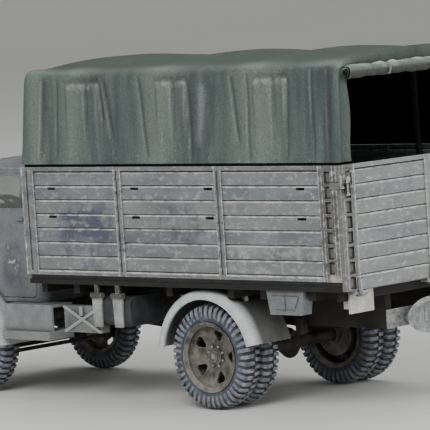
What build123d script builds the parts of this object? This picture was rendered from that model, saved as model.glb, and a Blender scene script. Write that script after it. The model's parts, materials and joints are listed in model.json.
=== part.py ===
from build123d import *
import math
import os

os.makedirs("parts", exist_ok=True)

# A 1:35 display model of a covered cargo truck. Millimetres of the model; +X points to the front,
# +Y to the left side, +Z up, and the wheels stand on z = 0 below the middle of the length.

# Layout
wheelbase = 91.4
rear_axle_x = -34.5
front_axle_x = rear_axle_x + wheelbase
tyre_radius = 13.3
axle_z = tyre_radius
running_gap = 0.05
panel_gap = 0.15
overrun = 5.0

# Frame
rail_top_z = 24.2
rail_height = 4.6
rail_bottom_z = rail_top_z - rail_height
rail_outer_y = 11.5
rail_flange = 2.0
rail_wall = 0.6
rail_rear_x = -78.0
rail_front_x = 84.4

# Cargo bed
bed_length = 109.4
bed_rear_x = -83.0
bed_front_x = bed_rear_x + bed_length
bed_half_width = 32.35
bed_side_bottom_z = 33.4
bed_side_height = 27.8
bed_top_z = bed_side_bottom_z + bed_side_height
side_thickness = 1.4
board_recess = 0.35
floor_bottom_z = 32.1
floor_thickness = 1.6
floor_top_z = floor_bottom_z + floor_thickness
side_inner_y = bed_half_width - side_thickness

# Cab
cab_back_x = 28.1
cab_half_width = 25.2
cab_bottom_z = 25.0
cab_skin = 0.9


def slab(x_span, y_span, z_span, mode=Mode.ADD):
    """A block between three pairs of planes."""
    centre = tuple((low + high) / 2 for low, high in (x_span, y_span, z_span))
    with Locations(centre):
        Box(x_span[1] - x_span[0], y_span[1] - y_span[0], z_span[1] - z_span[0], mode=mode)


def rod_x(radius, x_span, y, z, mode=Mode.ADD):
    """A round bar along X."""
    with Locations(((x_span[0] + x_span[1]) / 2, y, z)):
        Cylinder(radius, x_span[1] - x_span[0], rotation=(0, 90, 0), mode=mode)


def rod_y(radius, y_span, x, z, mode=Mode.ADD):
    """A round bar along Y."""
    with Locations((x, (y_span[0] + y_span[1]) / 2, z)):
        Cylinder(radius, y_span[1] - y_span[0], rotation=(90, 0, 0), mode=mode)


def rod_z(radius, z_span, x, y, mode=Mode.ADD):
    """A round bar along Z."""
    with Locations((x, y, (z_span[0] + z_span[1]) / 2)):
        Cylinder(radius, z_span[1] - z_span[0], mode=mode)


def mirrored(left):
    """The right-hand twin of a left-hand piece."""
    with BuildPart() as right:
        mirror(left.part, about=Plane.XZ)
    return right


def keep(piece, name):
    """Label a finished piece and write it under its node name."""
    piece.part.label = name
    export_step(piece.part, f"parts/{name}.step")


# Frame: two channel rails, cross-members and the outriggers that carry steps and locker
cross_member_shares = (0.02, 0.16, 0.36, 0.56, 0.64, 0.985)
cross_member_length = 2.4
locker_outrigger_x_places = (3.6, 13.2)
step_outrigger_x_places = (24.0, 36.6)
outrigger_width = 1.6
outrigger_height = 1.8
outrigger_z = 21.0
locker_inner_y = 28.0
skirt_outer_y = 29.5
skirt_wall = 0.7

with BuildPart() as frame_rails:
    for side in (1, -1):
        outer = side * rail_outer_y
        inner = side * (rail_outer_y - rail_flange)
        web = side * (rail_outer_y - rail_wall)
        low_web, high_web = rail_bottom_z + rail_wall, rail_top_z - rail_wall
        with BuildSketch(Plane.YZ.offset(rail_rear_x)):
            with BuildLine():
                Polyline(
                    (inner, rail_bottom_z), (outer, rail_bottom_z), (outer, rail_top_z),
                    (inner, rail_top_z), (inner, high_web), (web, high_web),
                    (web, low_web), (inner, low_web), close=True,
                )
            make_face()
        extrude(amount=rail_front_x - rail_rear_x)
    for share in cross_member_shares:
        cross_x = rail_rear_x + share * (rail_front_x - rail_rear_x)
        half_span = rail_outer_y - rail_wall
        slab((cross_x - cross_member_length / 2, cross_x + cross_member_length / 2),
             (-half_span, half_span), (rail_bottom_z + rail_wall, rail_top_z - rail_wall))
    outriggers = [(x, locker_inner_y, (1,)) for x in locker_outrigger_x_places]
    outriggers += [(x, skirt_outer_y - skirt_wall, (1, -1)) for x in step_outrigger_x_places]
    for outrigger_x, end_y, sides in outriggers:
        for side in sides:
            ends = sorted((side * (rail_outer_y - rail_wall), side * end_y))
            slab((outrigger_x - outrigger_width / 2, outrigger_x + outrigger_width / 2),
                 tuple(ends), (outrigger_z, outrigger_z + outrigger_height))
keep(frame_rails, "frame_rails")

# Axle ends, hubs and wheels share these
spindle_radius = 1.2
hub_bore_radius = spindle_radius + running_gap
tyre_width = 5.8
rim_radius = 8.2
rim_wall = 0.5
rim_lip = 0.6
tread_depth = 0.75
lug_count = 40
lug_share = 0.55
sidewall_radius = 10.4
sidewall_bulge = 0.15
bead_half_width = 2.35

# Twin tyres at the rear, single at the front: middle plane of each tyre, measured outwards
twin_outer_y = 26.6
twin_inner_y = 19.9
front_tyre_y = 23.0

with BuildPart() as tyre:
    with BuildSketch(Plane.XZ.offset(-tyre_width / 2)) as tread_outline:
        Circle(tyre_radius - tread_depth)
        lug_chord = 2 * math.pi * tyre_radius / lug_count * lug_share
        with PolarLocations(tyre_radius - tread_depth, lug_count):
            Rectangle(2 * tread_depth, lug_chord)
        Circle(sidewall_radius, mode=Mode.SUBTRACT)
    extrude(amount=tyre_width)
    with BuildSketch(Plane.XY):
        with BuildLine():
            Polyline(
                (rim_radius, -bead_half_width), (rim_radius + rim_lip, -bead_half_width),
                (sidewall_radius, -tyre_width / 2), (sidewall_radius, tyre_width / 2),
                (rim_radius + rim_lip, bead_half_width), (rim_radius, bead_half_width),
                close=True,
            )
        make_face()
    revolve(axis=Axis.Y)


def tyre_set(places, x, name):
    """Tyres on one wheel body, at the given middle planes."""
    with BuildPart() as tyres:
        with Locations(*[(x, y, axle_z) for y in places]):
            add(tyre.part)
    keep(tyres, name)


# Steel wheels: rim barrels, dished disc with hand-holes, hub and brake drum
hand_hole_count = 5
hand_hole_start_angle = 36
hand_hole_centre_radius = 5.6
hand_hole_radius = 2.4
hand_hole_round = 0.8
disc_thickness = 0.6
disc_inner_radius = 3.2
hub_radius = 2.1
hub_cap_radius = 1.4
drum_radius = 5.6
rear_disc_rim_y = 28.0
rear_disc_hub_y = 26.6
rear_hub_inner_y = 16.4
rear_hub_face_y = 27.2
rear_cap_y = 27.9
rear_drum_y_span = (17.6, 21.6)
front_disc_rim_y = 23.4
front_disc_hub_y = 24.9
front_hub_inner_y = 20.2
front_hub_face_y = 26.0
front_cap_y = 27.2
front_drum_y_span = (20.4, 22.8)


def rim_barrel(middle_y):
    """Ring that the tyre sits on, with a lip at both edges."""
    low, high = middle_y - bead_half_width, middle_y + bead_half_width
    with BuildSketch(Plane.XY) as profile:
        with BuildLine():
            Polyline(
                (rim_radius - rim_wall, low), (rim_radius + rim_lip, low - rim_wall),
                (rim_radius + rim_lip, low), (rim_radius, low),
                (rim_radius, high), (rim_radius + rim_lip, high),
                (rim_radius + rim_lip, high + rim_wall), (rim_radius - rim_wall, high),
                close=True,
            )
        make_face()
    revolve(profile.sketch, axis=Axis.Y)


def wheel_disc(rim_y, hub_y):
    """Cone between rim and hub, pierced by the hand-holes."""
    with BuildSketch(Plane.XY) as profile:
        with BuildLine():
            Polyline(
                (0, hub_y), (disc_inner_radius, hub_y), (rim_radius - rim_wall / 2, rim_y),
                (rim_radius - rim_wall / 2, rim_y - disc_thickness),
                (disc_inner_radius, hub_y - disc_thickness), (0, hub_y - disc_thickness),
                close=True,
            )
        make_face()
    revolve(profile.sketch, axis=Axis.Y)
    hole_plane = Plane.XZ.offset(-max(rim_y, hub_y) - disc_thickness)
    with BuildSketch(hole_plane) as holes:
        with PolarLocations(hand_hole_centre_radius, hand_hole_count,
                            start_angle=hand_hole_start_angle):
            RegularPolygon(hand_hole_radius, 3, rotation=180)
        fillet(holes.vertices(), radius=hand_hole_round)
    extrude(holes.sketch, amount=abs(rim_y - hub_y) + 4 * disc_thickness, mode=Mode.SUBTRACT)


def hub(inner_y, face_y, cap_y, drum_span, bore_end_y):
    """Hub barrel, cap and drum about the spindle's bore."""
    rod_y(hub_radius, (inner_y, face_y), 0, 0)
    rod_y(hub_cap_radius, (face_y, cap_y), 0, 0)
    rod_y(drum_radius, drum_span, 0, 0)
    rod_y(hub_bore_radius, (inner_y - overrun, bore_end_y), 0, 0, mode=Mode.SUBTRACT)


rear_spindle_end_y = 24.0
front_spindle_end_y = 24.6

with BuildPart() as rear_wheel:
    rim_barrel(twin_outer_y)
    rim_barrel(twin_inner_y)
    wheel_disc(rear_disc_rim_y, rear_disc_hub_y)
    with BuildSketch(Plane.XY):
        with BuildLine():
            Polyline(
                (hub_radius, twin_inner_y + bead_half_width),
                (rim_radius, twin_inner_y + bead_half_width),
                (rim_radius, twin_inner_y + bead_half_width - disc_thickness),
                (hub_radius, twin_inner_y + bead_half_width - disc_thickness), close=True,
            )
        make_face()
    revolve(axis=Axis.Y)
    hub(rear_hub_inner_y, rear_hub_face_y, rear_cap_y, rear_drum_y_span,
        rear_spindle_end_y + panel_gap)

with BuildPart() as front_wheel:
    rim_barrel(front_tyre_y)
    wheel_disc(front_disc_rim_y, front_disc_hub_y)
    hub(front_hub_inner_y, front_hub_face_y, front_cap_y, front_drum_y_span,
        front_spindle_end_y + panel_gap)


def place_wheel(wheel, x, side, name):
    """Put a wheel on its axle line on one side of the truck."""
    with BuildPart() as placed:
        with Locations((x, 0, axle_z)):
            add(wheel.part)
    keep(placed if side == "left" else mirrored(placed), name)


for side in ("left", "right"):
    sign = 1 if side == "left" else -1
    tyre_set((sign * twin_outer_y, sign * twin_inner_y), rear_axle_x, f"tyres_rear_{side}")
    tyre_set((sign * front_tyre_y,), front_axle_x, f"tyre_front_{side}")
    place_wheel(rear_wheel, rear_axle_x, side, f"wheels_rear_{side}")
    place_wheel(front_wheel, front_axle_x, side, f"wheel_front_{side}")

# Rear axle: tube, differential housing and spindles
axle_tube_radius = 1.6
axle_tube_end_y = 16.2
differential_radius = 4.0
differential_half_width = 3.6
pinion_radius = 1.7
pinion_length = 6.5

with BuildPart() as rear_axle:
    rod_y(axle_tube_radius, (-axle_tube_end_y, axle_tube_end_y), rear_axle_x, axle_z)
    rod_y(spindle_radius, (-rear_spindle_end_y, rear_spindle_end_y), rear_axle_x, axle_z)
    for side in (1, -1):
        with Locations((rear_axle_x, side * differential_half_width / 2, axle_z)):
            Cone(differential_radius, axle_tube_radius, differential_half_width,
                 rotation=(-side * 90, 0, 0))
    rod_x(pinion_radius, (rear_axle_x, rear_axle_x + pinion_length), 0, axle_z)
keep(rear_axle, "rear_axle")

# Front axle: drop beam with an eye for the kingpin at each end
kingpin_y = 17.4
kingpin_radius = 0.6
kingpin_bore_radius = kingpin_radius + running_gap
beam_eye_radius = 1.3
beam_eye_half_height = 1.3
beam_depth = 1.8
beam_top_z = 12.6
beam_height = 2.4
beam_rise_y = 12.5
beam_eye_y = 15.6

with BuildPart() as front_axle_beam:
    with BuildSketch(Plane.YZ.offset(front_axle_x - beam_depth / 2)):
        with BuildLine():
            eye_low, eye_high = axle_z - beam_eye_half_height, axle_z + beam_eye_half_height
            Polyline(
                (-kingpin_y, eye_low), (-beam_eye_y, eye_low),
                (-beam_rise_y, beam_top_z - beam_height),
                (beam_rise_y, beam_top_z - beam_height), (beam_eye_y, eye_low),
                (kingpin_y, eye_low), (kingpin_y, eye_high), (beam_eye_y, eye_high),
                (beam_rise_y, beam_top_z), (-beam_rise_y, beam_top_z),
                (-beam_eye_y, eye_high), (-kingpin_y, eye_high), close=True,
            )
        make_face()
    extrude(amount=beam_depth)
    for side in (1, -1):
        span = (axle_z - beam_eye_half_height, axle_z + beam_eye_half_height)
        rod_z(beam_eye_radius, span, front_axle_x, side * kingpin_y)
        rod_z(kingpin_bore_radius, (span[0] - overrun, span[1] + overrun),
              front_axle_x, side * kingpin_y, mode=Mode.SUBTRACT)
keep(front_axle_beam, "front_axle_beam")

# Steering knuckles: ears above and below the beam's eye, spindle and steering arm
ear_thickness = 0.9
ear_radius = 1.3
ear_gap = 0.1
knuckle_plate_y_span = (18.85, 19.7)
knuckle_half_depth = 1.3
arm_length = 6.6
arm_width = 1.1
arm_pin_radius = 0.4
arm_pin_rise = 1.9
arm_top_z = axle_z - beam_eye_half_height - ear_gap
arm_bottom_z = arm_top_z - ear_thickness
arm_pin_x = front_axle_x - arm_length
arm_pin_y = kingpin_y

with BuildPart() as knuckle_left:
    lower = (arm_bottom_z, arm_top_z)
    upper_low = axle_z + beam_eye_half_height + ear_gap
    upper = (upper_low, upper_low + ear_thickness)
    for span in (lower, upper):
        rod_z(ear_radius, span, front_axle_x, kingpin_y)
        slab((front_axle_x - knuckle_half_depth, front_axle_x + knuckle_half_depth),
             (kingpin_y, knuckle_plate_y_span[1]), span)
    slab((front_axle_x - knuckle_half_depth, front_axle_x + knuckle_half_depth),
         knuckle_plate_y_span, (lower[0], upper[1]))
    rod_z(kingpin_radius, (lower[0], upper[1]), front_axle_x, kingpin_y)
    rod_y(spindle_radius, (knuckle_plate_y_span[0], front_spindle_end_y), front_axle_x, axle_z)
    with BuildSketch(Plane.XY.offset(arm_bottom_z)):
        with BuildLine():
            Polyline(
                (front_axle_x, kingpin_y - arm_width / 2),
                (front_axle_x, kingpin_y + arm_width / 2),
                (arm_pin_x, arm_pin_y + arm_width / 2),
                (arm_pin_x, arm_pin_y - arm_width / 2), close=True,
            )
        make_face()
        with Locations((arm_pin_x, arm_pin_y)):
            Circle(arm_width / 2)
    extrude(amount=ear_thickness)
    rod_z(arm_pin_radius, (arm_bottom_z - arm_pin_rise, arm_top_z), arm_pin_x, arm_pin_y)
keep(knuckle_left, "knuckle_left")
keep(mirrored(knuckle_left), "knuckle_right")

# Tie rod below the arms
tie_rod_radius = 0.55
tie_eye_radius = 1.0
tie_eye_height = 1.2
tie_eye_top_z = arm_bottom_z - ear_gap

with BuildPart() as tie_rod:
    rod_z_middle = tie_eye_top_z - tie_eye_height / 2
    rod_y(tie_rod_radius, (-arm_pin_y, arm_pin_y), arm_pin_x, rod_z_middle)
    for side in (1, -1):
        span = (tie_eye_top_z - tie_eye_height, tie_eye_top_z)
        rod_z(tie_eye_radius, span, arm_pin_x, side * arm_pin_y)
        rod_z(arm_pin_radius + running_gap, (span[0] - overrun, span[1] + overrun),
              arm_pin_x, side * arm_pin_y, mode=Mode.SUBTRACT)
keep(tie_rod, "tie_rod")

# Leaf springs: a stack of bowed leaves, eyes at the ends and hangers up to the rails
leaf_thickness = 0.5
leaf_length_shares = (0.34, 0.56, 0.78, 1.0)
leaf_bow = 2.0
hanger_radius = 0.9


def leaf_spring(centre_x, y_span, seat_z, half_length, hanger_top_z):
    """Leaves stacked upwards from the axle seat, the longest on top."""
    for index, share in enumerate(leaf_length_shares):
        half = share * half_length
        bow = leaf_bow * share * share
        low = seat_z + index * leaf_thickness
        with BuildSketch(Plane.XZ.offset(-y_span[1])) as leaf:
            with BuildLine():
                ThreePointArc((centre_x - half, low + bow), (centre_x, low),
                              (centre_x + half, low + bow))
                Line((centre_x + half, low + bow),
                     (centre_x + half, low + bow + leaf_thickness))
                ThreePointArc((centre_x + half, low + bow + leaf_thickness),
                              (centre_x, low + leaf_thickness),
                              (centre_x - half, low + bow + leaf_thickness))
                Line((centre_x - half, low + bow + leaf_thickness),
                     (centre_x - half, low + bow))
            make_face()
        extrude(leaf.sketch, amount=y_span[1] - y_span[0])
    eye_z = seat_z + (len(leaf_length_shares) - 1) * leaf_thickness + leaf_bow
    for end in (1, -1):
        end_x = centre_x + end * half_length
        rod_y(hanger_radius, y_span, end_x, eye_z)
        slab((end_x - hanger_radius, end_x + hanger_radius), y_span, (eye_z, hanger_top_z))


front_spring_y_span = (rail_outer_y - rail_flange, rail_outer_y)
front_spring_half = 12.5
rear_spring_y_span = (rail_outer_y, 13.9)
rear_spring_half = 16.5

with BuildPart() as front_springs:
    for side in (1, -1):
        span = tuple(sorted(side * y for y in front_spring_y_span))
        leaf_spring(front_axle_x, span, beam_top_z, front_spring_half, rail_bottom_z)
keep(front_springs, "front_springs")

with BuildPart() as rear_springs:
    for side in (1, -1):
        span = tuple(sorted(side * y for y in rear_spring_y_span))
        leaf_spring(rear_axle_x, span, axle_z + axle_tube_radius, rear_spring_half,
                    rail_bottom_z + rail_height / 2)
keep(rear_springs, "rear_springs")

# Engine block between the rails and the propeller shaft to the rear axle
engine_x_span = (45.0, 74.0)
engine_half_width = 7.0
engine_z_span = (17.0, 36.0)
gearbox_rear_x = 30.0
gearbox_x_span = (gearbox_rear_x, engine_x_span[0])
gearbox_half_width = 4.0
gearbox_z_span = (16.5, 23.6)
shaft_radius = 1.0
shaft_front_z = 18.8
shaft_yoke_radius = 1.5
shaft_yoke_length = 1.8

with BuildPart() as engine:
    slab(engine_x_span, (-engine_half_width, engine_half_width), engine_z_span)
    fillet(engine.edges().filter_by(Axis.X), radius=cab_skin)
    slab(gearbox_x_span, (-gearbox_half_width, gearbox_half_width), gearbox_z_span)
keep(engine, "engine")

with BuildPart() as propeller_shaft:
    shaft_rear_x = rear_axle_x + pinion_length
    rod_x(shaft_yoke_radius, (shaft_rear_x, shaft_rear_x + shaft_yoke_length), 0, axle_z)
    rod_x(shaft_yoke_radius, (gearbox_x_span[0] - shaft_yoke_length, gearbox_x_span[0]),
          0, shaft_front_z)
    run_x = gearbox_x_span[0] - shaft_rear_x - shaft_yoke_length
    run_z = shaft_front_z - axle_z
    shaft_plane = Plane(origin=(shaft_rear_x + shaft_yoke_length / 2, 0, axle_z),
                        z_dir=(run_x, 0, run_z))
    with BuildSketch(shaft_plane):
        Circle(shaft_radius)
    extrude(amount=math.hypot(run_x, run_z))
keep(propeller_shaft, "propeller_shaft")

# Bed: cross bearers on two long beams, floor slab, edge rails
bearer_shares = (0.03, 0.115, 0.26, 0.36, 0.554, 0.72, 0.86, 0.97)
bearer_length = 2.0
bearer_bottom_z = 28.4
bearer_inset = 2.75
bearer_half_width = bed_half_width - bearer_inset
edge_rail_inset = 0.75
edge_rail_outer_y = bed_half_width - edge_rail_inset
edge_rail_height = 1.2
long_beam_y_span = (rail_outer_y - rail_flange, rail_outer_y)

with BuildPart() as bed_bearers:
    for share in bearer_shares:
        bearer_x = bed_rear_x + share * bed_length
        slab((bearer_x - bearer_length / 2, bearer_x + bearer_length / 2),
             (-bearer_half_width, bearer_half_width), (bearer_bottom_z, floor_bottom_z))
    for side in (1, -1):
        beam = tuple(sorted(side * y for y in long_beam_y_span))
        slab((rail_rear_x, bed_front_x), beam, (rail_top_z, bearer_bottom_z))
        edge = tuple(sorted((side * bearer_half_width, side * edge_rail_outer_y)))
        slab((bed_rear_x, bed_front_x), edge,
             (floor_bottom_z - edge_rail_height, floor_bottom_z))
keep(bed_bearers, "bed_bearers")

headboard_thickness = 1.1
floor_edge_width = 1.0
floor_edge_z = floor_top_z - running_gap - panel_gap

with BuildPart() as bed_floor:
    slab((bed_rear_x, bed_front_x), (-side_inner_y, side_inner_y),
         (floor_bottom_z, floor_edge_z))
    slab((bed_rear_x, bed_front_x - headboard_thickness - running_gap),
         (floor_edge_width - side_inner_y, side_inner_y - floor_edge_width),
         (floor_bottom_z, floor_top_z))
keep(bed_floor, "bed_floor")

# Boarded walls: the same groove outline for the sides, the headboard and the tailgate
side_board_count = 7
gate_board_count = 8
board_pitch = 3.62
top_rail_height = 1.0
groove_depth = 0.35
groove_height = 0.2
board_lip = 0.35
post_width = 2.5
post_groove_width = 0.9


def board_outline(inner, face, top_z, bottom_z, count):
    """Section of stacked boards: square grooves with a sloping lip below each."""
    points = [(inner, bottom_z), (inner, top_z), (face, top_z)]
    deep = face - math.copysign(groove_depth, face - inner)
    for index in range(count):
        seam_z = top_z - top_rail_height - index * board_pitch
        points.append((face, seam_z))
        points.append((deep, seam_z))
        points.append((deep, seam_z - groove_height))
        points.append((face, seam_z - groove_height - board_lip))
    points.append((face, bottom_z))
    return points


side_face_y = bed_half_width - board_recess
front_post_width = 4.6
rear_post_width = 5.8
divider_share_1 = 0.3553
divider_share_2 = 0.6765
divider_x_places = (bed_rear_x + divider_share_1 * bed_length,
                    bed_rear_x + divider_share_2 * bed_length)
bottom_rail_height = 1.1
cell_width = 1.9
cell_height = 2.9
cell_depth = 0.5
lashing_slot_length = 2.9
lashing_slot_height = 0.7
lashing_slot_drop = 0.95
lashing_slot_x_places = (-71.0, -40.4, -14.7, 15.6)
lashing_slot_boards = (1, 3)

with BuildPart() as bed_side_left:
    with BuildSketch(Plane.YZ.offset(bed_rear_x)):
        with BuildLine():
            Polyline(*board_outline(side_inner_y, side_face_y, bed_top_z,
                                    bed_side_bottom_z, side_board_count), close=True)
        make_face()
    extrude(amount=bed_length)
    post_y = (side_face_y - groove_depth, bed_half_width)
    full_z = (bed_side_bottom_z, bed_top_z)
    for divider_x in divider_x_places:
        slab((divider_x - post_width / 2, divider_x + post_width / 2), post_y, full_z)
        slab((divider_x - post_groove_width / 2, divider_x + post_groove_width / 2),
             (side_face_y, bed_half_width + overrun),
             (bed_side_bottom_z + bottom_rail_height, bed_top_z - top_rail_height),
             mode=Mode.SUBTRACT)
    slab((bed_front_x - front_post_width, bed_front_x), post_y, full_z)
    slab((bed_rear_x, bed_rear_x + rear_post_width), post_y, full_z)
    slab((bed_rear_x, bed_front_x), post_y,
         (bed_top_z - top_rail_height, bed_top_z))
    slab((bed_rear_x, bed_front_x), post_y,
         (bed_side_bottom_z, bed_side_bottom_z + bottom_rail_height))
    slab((bed_front_x - front_post_width / 2 - post_groove_width / 2,
          bed_front_x - front_post_width / 2 + post_groove_width / 2),
         (side_face_y, bed_half_width + overrun),
         (bed_side_bottom_z + bottom_rail_height, bed_top_z - top_rail_height),
         mode=Mode.SUBTRACT)
    for index in range(side_board_count):
        cell_z = bed_top_z - top_rail_height - (index + 1 / 2) * board_pitch
        slab((bed_rear_x + rear_post_width / 2 - cell_width / 2,
              bed_rear_x + rear_post_width / 2 + cell_width / 2),
             (bed_half_width - cell_depth, bed_half_width + overrun),
             (cell_z - cell_height / 2, cell_z + cell_height / 2), mode=Mode.SUBTRACT)
    for slot_x in lashing_slot_x_places:
        for board in lashing_slot_boards:
            slot_z = bed_top_z - top_rail_height - board * board_pitch - lashing_slot_drop
            slab((slot_x - lashing_slot_length / 2, slot_x + lashing_slot_length / 2),
                 (side_inner_y - overrun, bed_half_width + overrun),
                 (slot_z - lashing_slot_height / 2, slot_z + lashing_slot_height / 2),
                 mode=Mode.SUBTRACT)
keep(bed_side_left, "bed_side_left")
keep(mirrored(bed_side_left), "bed_side_right")

with BuildPart() as bed_headboard:
    head_face_x = bed_front_x
    with BuildSketch(Plane.XZ.offset(-side_inner_y)):
        with BuildLine():
            Polyline(*board_outline(head_face_x - headboard_thickness, head_face_x, bed_top_z,
                                    floor_edge_z, side_board_count), close=True)
        make_face()
    extrude(amount=2 * side_inner_y)
keep(bed_headboard, "bed_headboard")

# Tailgate, hinged on pins below its lower edge
gate_gap = 0.1
gate_thickness = 1.2
gate_inner_x = bed_rear_x - gate_gap
gate_outer_x = gate_inner_x - gate_thickness
gate_face_x = gate_outer_x + board_recess
gate_bottom_z = 31.2
gate_end_post = 5.3
gate_centre_post = 2.5
gate_hinge_x = -84.1
gate_hinge_z = 30.5
gate_hinge_radius = 0.95
gate_pin_radius = 0.4
gate_hinge_width = 2.6
gate_hinge_inset = 5.35
gate_hinge_y_places = (0, bed_half_width - gate_hinge_inset, gate_hinge_inset - bed_half_width)
pin_bracket_width = 0.8
gate_side_reach = 0.1
latch_width = 4.1
latch_height = 4.4
latch_thickness = 0.35
latch_drop = 1.1
latch_arm_height = 1.4
latch_arm_length = 1.9
latch_clearance = 0.1

with BuildPart() as tailgate:
    with BuildSketch(Plane.XZ.offset(-bed_half_width)):
        with BuildLine():
            Polyline(*board_outline(gate_inner_x, gate_face_x, bed_top_z,
                                    gate_bottom_z, gate_board_count), close=True)
        make_face()
    extrude(amount=2 * bed_half_width)
    gate_post_x = (gate_outer_x, gate_face_x + groove_depth)
    gate_z = (gate_bottom_z, bed_top_z)
    slab(gate_post_x, (-gate_centre_post / 2, gate_centre_post / 2), gate_z)
    slab(gate_post_x, (-bed_half_width, bed_half_width),
         (bed_top_z - top_rail_height, bed_top_z))
    for side in (1, -1):
        post = tuple(sorted((side * (bed_half_width - gate_end_post), side * bed_half_width)))
        slab(gate_post_x, post, gate_z)
        for index in range(gate_board_count):
            cell_z = bed_top_z - top_rail_height - (index + 1 / 2) * board_pitch
            cell_y = side * (bed_half_width - gate_end_post / 2)
            slab((gate_outer_x - overrun, gate_outer_x + cell_depth),
                 (cell_y - cell_width / 2, cell_y + cell_width / 2),
                 (cell_z - cell_height / 2, cell_z + cell_height / 2), mode=Mode.SUBTRACT)
        plate = tuple(sorted((side * (bed_half_width - latch_width),
                              side * (bed_half_width + latch_clearance + latch_thickness))))
        plate_top_z = bed_top_z - latch_drop
        slab((gate_outer_x - latch_thickness, gate_outer_x), plate,
             (plate_top_z - latch_height, plate_top_z))
        arm = tuple(sorted((side * (bed_half_width + latch_clearance),
                            side * (bed_half_width + latch_clearance + latch_thickness))))
        slab((gate_outer_x - latch_thickness, gate_inner_x + latch_arm_length), arm,
             (plate_top_z - latch_height, plate_top_z - latch_height + latch_arm_height))
    for hinge_y in gate_hinge_y_places:
        span = (hinge_y - gate_hinge_width / 2, hinge_y + gate_hinge_width / 2)
        rod_y(gate_hinge_radius, span, gate_hinge_x, gate_hinge_z)
        slab((gate_outer_x - latch_thickness, gate_outer_x), span,
             (gate_hinge_z, gate_bottom_z + gate_hinge_width))
    rod_y(gate_pin_radius + running_gap, (-bed_half_width, bed_half_width),
          gate_hinge_x, gate_hinge_z, mode=Mode.SUBTRACT)
keep(tailgate, "tailgate")

with BuildPart() as tail_sill:
    sill_depth = edge_rail_height
    slab((bed_rear_x, bed_rear_x + sill_depth), (-bearer_half_width, bearer_half_width),
         (floor_bottom_z - edge_rail_height, floor_bottom_z))
    for hinge_y in gate_hinge_y_places:
        for side in (1, -1):
            bracket_y = hinge_y + side * (gate_hinge_width / 2 + gate_gap + pin_bracket_width / 2)
            bracket = (bracket_y - pin_bracket_width / 2, bracket_y + pin_bracket_width / 2)
            slab((gate_hinge_x, bed_rear_x + sill_depth), bracket,
                 (gate_hinge_z - gate_pin_radius, gate_bottom_z - gate_gap))
            rod_y(gate_pin_radius, bracket, gate_hinge_x, gate_hinge_z)
        rod_y(gate_pin_radius, (hinge_y - gate_hinge_width / 2 - gate_gap - pin_bracket_width,
                                hinge_y + gate_hinge_width / 2 + gate_gap + pin_bracket_width),
              gate_hinge_x, gate_hinge_z)
keep(tail_sill, "tail_sill")

# Canvas cover: a thin closed shell over the hoops, open at the back
tarp_lift = 0.7
tarp_bottom_z = bed_top_z + tarp_lift
tarp_side_inset = 0.35
tarp_half_bottom = bed_half_width - tarp_side_inset
tarp_side_lean = 0.9
tarp_half_shoulder = tarp_half_bottom - tarp_side_lean
tarp_shoulder_z = 85.2
tarp_crown_z = 88.3
tarp_shoulder_round = 3.0
tarp_edge_round = 1.2
tarp_thickness = 0.6
tarp_rear_x = -84.0
tarp_front_x = 26.9
tarp_front_lean = 2.6
tarp_wrap = 4.9
tarp_opening_top_z = 82.0
soft_gap = 0.3

# Sagging stretches of the roof: middle, depth below the crown and radius of each hollow
roof_hollow_x_places = (0.5, -40.4, -68.5)
roof_hollow_drops = (1.8, 1.2, 1.0)
roof_hollow_radii = (128.0, 60.0, 41.0)


def cover_section(inset, half_bottom, half_shoulder):
    """Arched section of the cover, or of what lies inside it."""
    shoulder_z = tarp_shoulder_z - inset
    with BuildLine() as arch:
        Line((half_bottom - inset, tarp_bottom_z), (half_shoulder - inset, shoulder_z))
        ThreePointArc((half_shoulder - inset, shoulder_z), (0, tarp_crown_z - inset),
                      (inset - half_shoulder, shoulder_z))
        Line((inset - half_shoulder, shoulder_z), (inset - half_bottom, tarp_bottom_z))
        Line((inset - half_bottom, tarp_bottom_z), (half_bottom - inset, tarp_bottom_z))
    make_face(arch.edges())


def cover_form(inset):
    """Solid form of the cover, drawn in by the inset on every side but the bottom."""
    with BuildPart() as form:
        with BuildSketch(Plane.YZ.offset(tarp_rear_x + inset)) as section:
            cover_section(inset, tarp_half_bottom, tarp_half_shoulder)
            corners = section.vertices().group_by(Axis.Y)[-1]
            fillet(corners, radius=tarp_shoulder_round - inset)
        extrude(amount=tarp_front_x - tarp_rear_x - 2 * inset)
        with BuildSketch(Plane.XZ.offset(-tarp_half_bottom - overrun)):
            front = tarp_front_x - inset
            with BuildLine():
                Polyline(
                    (front, tarp_bottom_z), (front - tarp_front_lean, tarp_crown_z),
                    (front + overrun, tarp_crown_z), (front + overrun, tarp_bottom_z),
                    close=True,
                )
            make_face()
        extrude(amount=2 * (tarp_half_bottom + overrun), mode=Mode.SUBTRACT)
        for hollow_x, drop, radius in zip(roof_hollow_x_places, roof_hollow_drops,
                                          roof_hollow_radii):
            with Locations((hollow_x, 0, tarp_crown_z - drop + radius)):
                Cylinder(radius + inset, 2 * (tarp_half_bottom + overrun), rotation=(90, 0, 0),
                         mode=Mode.SUBTRACT)
    return form


with BuildPart() as tarp:
    add(cover_form(0).part)
    rim = tarp.faces().sort_by(Axis.X)[-1].edges().sort_by(Axis.Z)[1:]
    fillet(rim, radius=tarp_edge_round)
    add(cover_form(tarp_thickness).part, mode=Mode.SUBTRACT)
    slab((tarp_rear_x - overrun, tarp_rear_x + overrun),
         (tarp_wrap - tarp_half_bottom, tarp_half_bottom - tarp_wrap),
         (tarp_bottom_z - overrun, tarp_opening_top_z), mode=Mode.SUBTRACT)
keep(tarp, "tarp")

# Rear flap, rolled up and tied above the opening
roll_radius = 1.45
roll_half_length = 29.6
roll_x = tarp_rear_x - soft_gap - roll_radius
roll_z = 82.3

with BuildPart() as tarp_roll:
    rod_y(roll_radius, (-roll_half_length, roll_half_length), roll_x, roll_z)
    chamfer(tarp_roll.edges().filter_by(GeomType.CIRCLE), length=roll_radius / 3)
keep(tarp_roll, "tarp_roll")

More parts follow.
